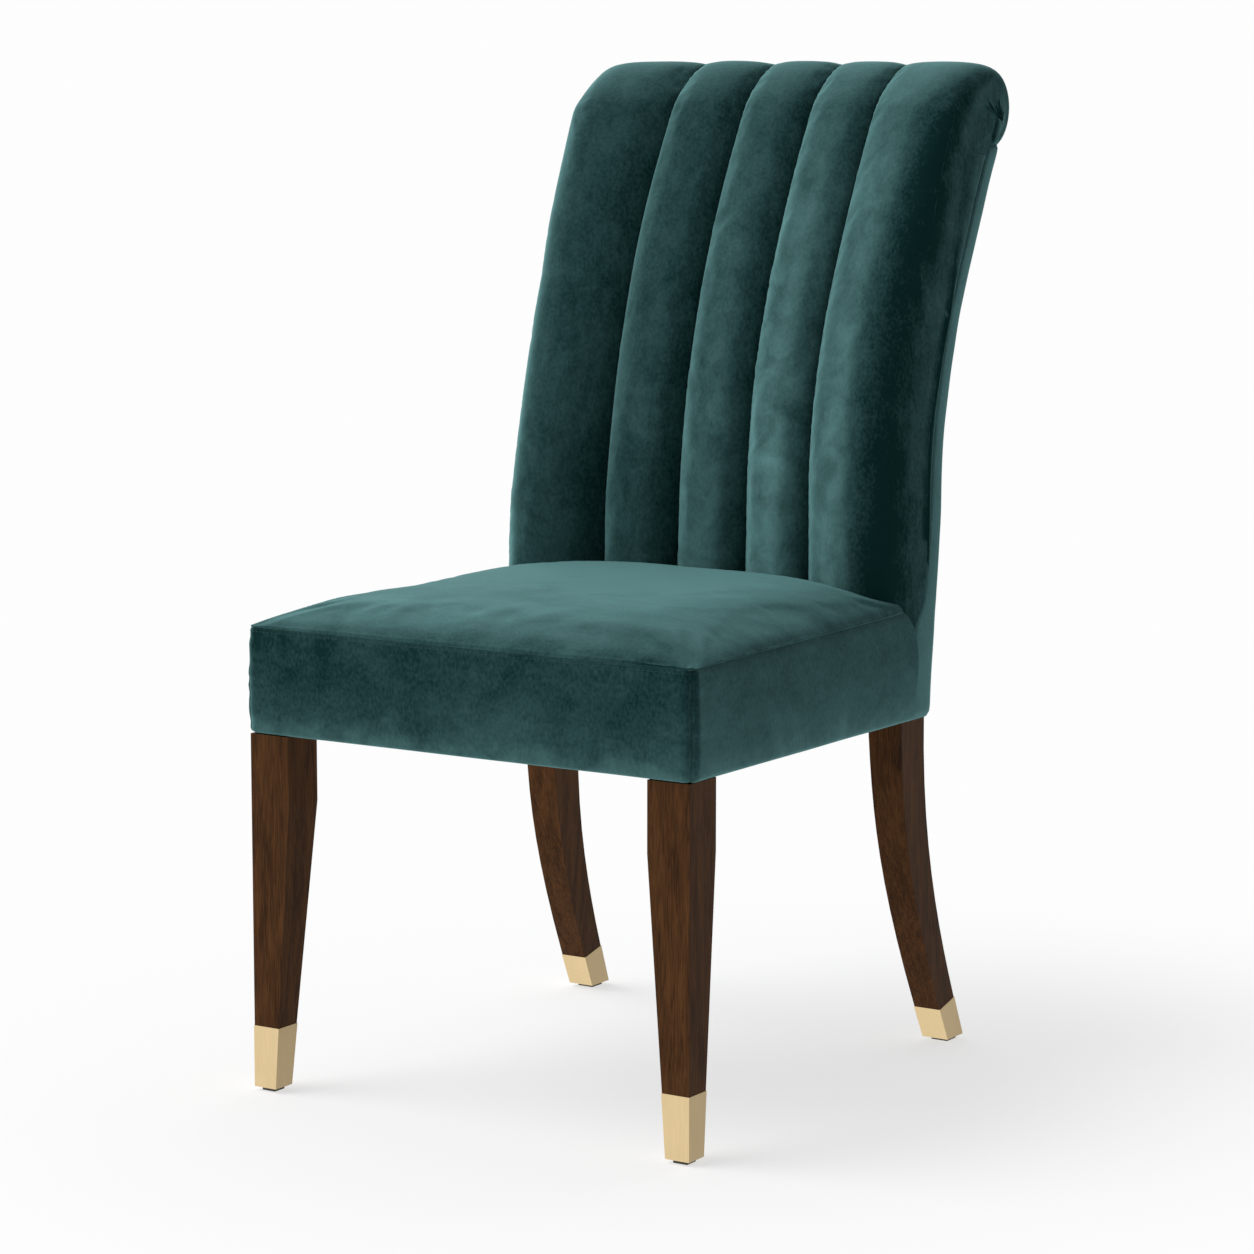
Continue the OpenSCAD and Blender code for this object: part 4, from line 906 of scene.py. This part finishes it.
def makeTab(side):
    name = sideName(side)
    low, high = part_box(f"roll_end_tab_{name}")
    centreY, centreZ = (low.y + high.y) / 2, (low.z + high.z) / 2
    tilt = math.radians(tab["tilt"])
    half, wide, thick = tab["half"], tab["wide"], tab["thick"]
    verts, faces = [], []
    rings, count = 14, 40
    for i in range(rings + 1):
        p = math.pi * i / rings
        for j in range(count):
            q = 2 * math.pi * j / count
            bulge = math.sin(p) ** 0.55 if 0 < i < rings else 0.0
            straight = (half - wide) * math.copysign(min(1, abs(math.sin(q)) * 3), math.sin(q))
            along = straight + wide * math.sin(q)
            a, b = along * bulge, wide * math.cos(q) * bulge
            y = centreY + b * math.cos(tilt) + a * math.sin(tilt)
            z = centreZ + a * math.cos(tilt) - b * math.sin(tilt)
            verts.append((halfW + tab["proud"] + thick * math.cos(p), y, z))
    for i in range(rings):
        for j in range(count):
            k = (j + 1) % count
            faces.append((i * count + j, i * count + k, (i + 1) * count + k, (i + 1) * count + j))
    verts = np.array(verts)
    if side < 0:
        verts[:, 0] *= -1
    piece = addPiece(f"{name}Tab", verts, faces, velvetBack, (f"roll_end_tab_{name}",))
    weld = piece.modifiers.new("weld", "WELD")
    weld.merge_threshold = 0.00002
    settle(piece)


def fixNormals(piece):
    work = bmesh.new()
    work.from_mesh(piece.data)
    bmesh.ops.recalc_face_normals(work, faces=work.faces)
    work.to_mesh(piece.data)
    work.free()
    piece.data.update()


for side in (1, -1):
    makeRollEnd(side)
    makeTab(side)
for piece in list(scene.objects):
    if piece.type == "MESH" and "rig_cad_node" not in piece:
        fixNormals(piece)
        piece.data.set_sharp_from_angle(angle=math.radians(52))
print("stage: roll ends")

# Stitches along the seams, laid by one set of nodes
stitch = {"spacing": 0.0046, "length": 0.0030, "radius": 0.00028}


def makeStitchNodes():
    group = bpy.data.node_groups.new("stitchLine", "GeometryNodeTree")
    face = group.interface
    face.new_socket(name="Geometry", in_out="INPUT", socket_type="NodeSocketGeometry")
    face.new_socket(name="Spacing", in_out="INPUT", socket_type="NodeSocketFloat")
    face.new_socket(name="Stitch Length", in_out="INPUT", socket_type="NodeSocketFloat")
    face.new_socket(name="Thread Radius", in_out="INPUT", socket_type="NodeSocketFloat")
    face.new_socket(name="Thread", in_out="INPUT", socket_type="NodeSocketMaterial")
    face.new_socket(name="Geometry", in_out="OUTPUT", socket_type="NodeSocketGeometry")
    add = group.nodes.new
    start, end = add("NodeGroupInput"), add("NodeGroupOutput")
    curve = add("GeometryNodeMeshToCurve")
    sample = add("GeometryNodeCurveToPoints")
    sample.mode = "LENGTH"
    bar = add("GeometryNodeMeshUVSphere")
    bar.inputs["Segments"].default_value = 8
    bar.inputs["Rings"].default_value = 6
    bar.inputs["Radius"].default_value = 1.0
    size = add("ShaderNodeCombineXYZ")
    half = add("ShaderNodeMath")
    half.operation = "MULTIPLY"
    half.inputs[1].default_value = 0.5
    shape = add("GeometryNodeTransform")
    place = add("GeometryNodeInstanceOnPoints")
    real = add("GeometryNodeRealizeInstances")
    paint = add("GeometryNodeSetMaterial")
    link = group.links.new
    link(start.outputs["Geometry"], curve.inputs["Mesh"])
    link(curve.outputs["Curve"], sample.inputs["Curve"])
    link(start.outputs["Spacing"], sample.inputs["Length"])
    link(start.outputs["Stitch Length"], half.inputs[0])
    link(start.outputs["Thread Radius"], size.inputs["X"])
    link(start.outputs["Thread Radius"], size.inputs["Y"])
    link(half.outputs[0], size.inputs["Z"])
    link(bar.outputs["Mesh"], shape.inputs["Geometry"])
    link(size.outputs["Vector"], shape.inputs["Scale"])
    link(sample.outputs["Points"], place.inputs["Points"])
    link(sample.outputs["Rotation"], place.inputs["Rotation"])
    link(shape.outputs["Geometry"], place.inputs["Instance"])
    link(place.outputs["Instances"], real.inputs["Geometry"])
    link(real.outputs["Geometry"], paint.inputs["Geometry"])
    link(start.outputs["Thread"], paint.inputs["Material"])
    link(paint.outputs["Geometry"], end.inputs["Geometry"])
    return group


stitchNodes = makeStitchNodes()


def sewLine(name, lines):
    mesh = bpy.data.meshes.new(name)
    verts, edges = [], []
    for line in lines:
        base = len(verts)
        verts += [tuple(float(c) for c in p) for p in line]
        edges += [(base + i, base + i + 1) for i in range(len(line) - 1)]
    mesh.from_pydata(verts, edges, [])
    piece = bpy.data.objects.new(name, mesh)
    scene.collection.objects.link(piece)
    modifier = piece.modifiers.new("sewing", "NODES")
    modifier.node_group = stitchNodes
    values = {"Spacing": stitch["spacing"], "Stitch Length": stitch["length"],
              "Thread Radius": stitch["radius"], "Thread": thread}
    for item in stitchNodes.interface.items_tree:
        if item.item_type == "SOCKET" and item.in_out == "INPUT" and item.name in values:
            modifier[item.identifier] = values[item.name]
    piece.update_tag()
    bpy.context.view_layer.update()
    made = settle(piece)
    made.polygons.foreach_set("use_smooth", [True] * len(made.polygons))
    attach(piece, "root")
    print("sewn", name, len(made.polygons), "faces")


seamRow = -4
rightSeam = rightGrid[seamRow]
topLine = np.concatenate([mirrored(rightSeam)[::-1], frontGrid[seamRow], rightSeam])
sewLine("seatSeamStitches", [topLine])


def bandSeam(side):
    zs = np.linspace(band["sewLow"], band["sewHigh"], 160)
    ys = rearY(zs) - (bandWidth(zs) - 0.0022)
    xs = np.full_like(zs, side * (band["outX"] - 0.0004))
    return waist(np.stack([xs, ys, zs], 1))


sewLine("bandStitches", [bandSeam(1), bandSeam(-1)])
print("stage: stitches")

# Dust cover under the seat
dustLow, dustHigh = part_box("dust_cover")
dust = {
    "thick": 0.0005, "sag": 0.0022, "rearHalf": 0.2225, "puckers": 0.0007,
    "frontLegX": 0.2053, "frontLegY": -0.298, "rearLegX": 0.1882, "rearLegY": 0.0929,
}


def makeDustCover():
    cols, rows = 72, 68
    xs = np.linspace(dustLow.x, dustHigh.x, cols)
    ys = np.linspace(dustLow.y, dustHigh.y, rows)
    ratio = (ys - dustLow.y) / (dustHigh.y - dustLow.y)
    half = dustHigh.x - (dustHigh.x - dust["rearHalf"]) * ratio
    x = xs[None, :] / dustHigh.x * half[:, None]
    y = np.repeat(ys[:, None], cols, 1)
    u = np.linspace(-1, 1, cols)[None, :]
    v = np.linspace(-1, 1, rows)[:, None]
    z = underZ(y) + dust["sag"] - dust["sag"] * (1 - u ** 2) * (1 - v ** 2)
    pull = dust["puckers"] * np.sin(np.abs(u) * 3 + x * 95) * np.exp(-(1 - np.abs(v)) / 0.12)
    pull = pull + dust["puckers"] * np.sin(y * 105) * np.exp(-(1 - np.abs(u)) / 0.12)
    grid = np.stack([x, y, z + pull], -1)
    keep = np.ones((rows - 1, cols - 1), bool)
    midX = np.abs(x[:-1, :-1] + x[1:, 1:]) / 2
    midY = (y[:-1, :-1] + y[1:, 1:]) / 2
    keep &= ~((midX > dust["frontLegX"]) & (midY < dust["frontLegY"]))
    keep &= ~((midX > dust["rearLegX"]) & (midY > dust["rearLegY"]))
    index = np.arange(rows * cols).reshape(rows, cols)
    faces = [(index[i, j], index[i, j + 1], index[i + 1, j + 1], index[i + 1, j])
             for i in range(rows - 1) for j in range(cols - 1) if keep[i, j]]
    piece = addPiece("dustCover", grid.reshape(-1, 3), [tuple(int(c) for c in f) for f in faces],
                     dustLook, ("dust_cover",))
    thicken = piece.modifiers.new("thickness", "SOLIDIFY")
    thicken.thickness = dust["thick"]
    made = settle(piece)
    work = bmesh.new()
    work.from_mesh(made)
    bmesh.ops.delete(work, geom=[q for q in work.verts if not q.link_faces], context="VERTS")
    bmesh.ops.recalc_face_normals(work, faces=work.faces)
    area = sum(f.calc_area() for f in work.faces) / 2
    work.to_mesh(made)
    work.free()


makeDustCover()
print("stage: dust cover")

# Floor, light and camera
studio = {
    "floorHalf": 30.0, "backdrop": 0.985, "fade": (0.40, 1.05, 0.64, 1.0),
    "dimSide": (0.955, -0.235, 0.18), "dimming": (-0.10, 0.72, 0.975, 0.02),
    "sunEnergy": 1.45, "sunSpread": 38, "sunHeading": (0.62, 0.42, -1.0),
}
floorMesh = bpy.data.meshes.new("floor")
half = studio["floorHalf"]
corners = [(-half, -half, 0), (half, -half, 0), (half, half, 0), (-half, half, 0)]
floorMesh.from_pydata(corners, [], [(0, 1, 2, 3)])
floor = bpy.data.objects.new("floor", floorMesh)
scene.collection.objects.link(floor)
floorLook, floorTree, floorShader = newMaterial("floorLook")
floorShader.inputs["Base Color"].default_value = (0.96, 0.96, 0.96, 1)
floorShader.inputs["Roughness"].default_value = 0.9
floorShader.inputs["Specular IOR Level"].default_value = 0.0
# Far from the chair the floor fades into the bright backdrop
place = addNode(floorTree, "ShaderNodeTexCoord").outputs["Object"]
distance = addNode(floorTree, "ShaderNodeVectorMath", operation="LENGTH")
floorTree.links.new(place, distance.inputs[0])
fade = remap(floorTree, distance.outputs["Value"], *studio["fade"], curve="SMOOTHSTEP")
glow = addNode(floorTree, "ShaderNodeEmission", Strength=studio["backdrop"])
glow.inputs["Color"].default_value = (1, 1, 1, 1)
mixed = addNode(floorTree, "ShaderNodeMixShader")
floorTree.links.new(fade, mixed.inputs[0])
floorTree.links.new(floorShader.outputs[0], mixed.inputs[1])
floorTree.links.new(glow.outputs[0], mixed.inputs[2])
floorTree.links.new(mixed.outputs[0], floorTree.nodes["Material Output"].inputs["Surface"])
floorMesh.materials.append(floorLook)
floor.visible_glossy = False

world = bpy.data.worlds.new("studio")
scene.world = world
world.use_nodes = True
world.node_tree.nodes["Background"].inputs["Color"].default_value = (1.0, 1.0, 1.0, 1)
# The studio is bright all round and dimmer on the chair's right
sky = world.node_tree
heading = addNode(sky, "ShaderNodeVectorMath", operation="DOT_PRODUCT")
heading.inputs[1].default_value = studio["dimSide"]
sky.links.new(addNode(sky, "ShaderNodeTexCoord").outputs["Generated"], heading.inputs[0])
dimmer = remap(sky, heading.outputs["Value"], *studio["dimming"], curve="SMOOTHSTEP")
# Behind the chair the backdrop is evenly pale from every side
seen = addNode(sky, "ShaderNodeLightPath").outputs["Is Camera Ray"]
strength = addNode(sky, "ShaderNodeMix", data_type="FLOAT")
sky.links.new(seen, strength.inputs[0])
sky.links.new(dimmer, strength.inputs[2])
strength.inputs[3].default_value = studio["backdrop"]
sky.links.new(strength.outputs[0], sky.nodes["Background"].inputs["Strength"])

sun = bpy.data.lights.new("key", "SUN")
sun.energy = studio["sunEnergy"]
sun.angle = math.radians(studio["sunSpread"])
sunHolder = bpy.data.objects.new("key", sun)
sunHolder.rotation_euler = Vector(studio["sunHeading"]).to_track_quat("-Z", "Y").to_euler()
scene.collection.objects.link(sunHolder)

view = {
    "lens": 113.70, "sensor": 36, "azimuth": 32.859, "elevation": 8.301, "distance": 3.94644,
    "target": (0.01105, -0.07421, 0.45193),
}
camera = bpy.data.objects.new("camera", bpy.data.cameras.new("camera"))
camera.data.lens = view["lens"]
camera.data.sensor_width = view["sensor"]
azimuth, elevation = math.radians(view["azimuth"]), math.radians(view["elevation"])
level = math.cos(elevation)
toCamera = Vector((math.sin(azimuth) * level, -math.cos(azimuth) * level, math.sin(elevation)))
camera.location = Vector(view["target"]) + toCamera * view["distance"]
camera.rotation_euler = (math.pi / 2 - elevation, 0, azimuth)
scene.collection.objects.link(camera)
scene.camera = camera
print("stage: studio")
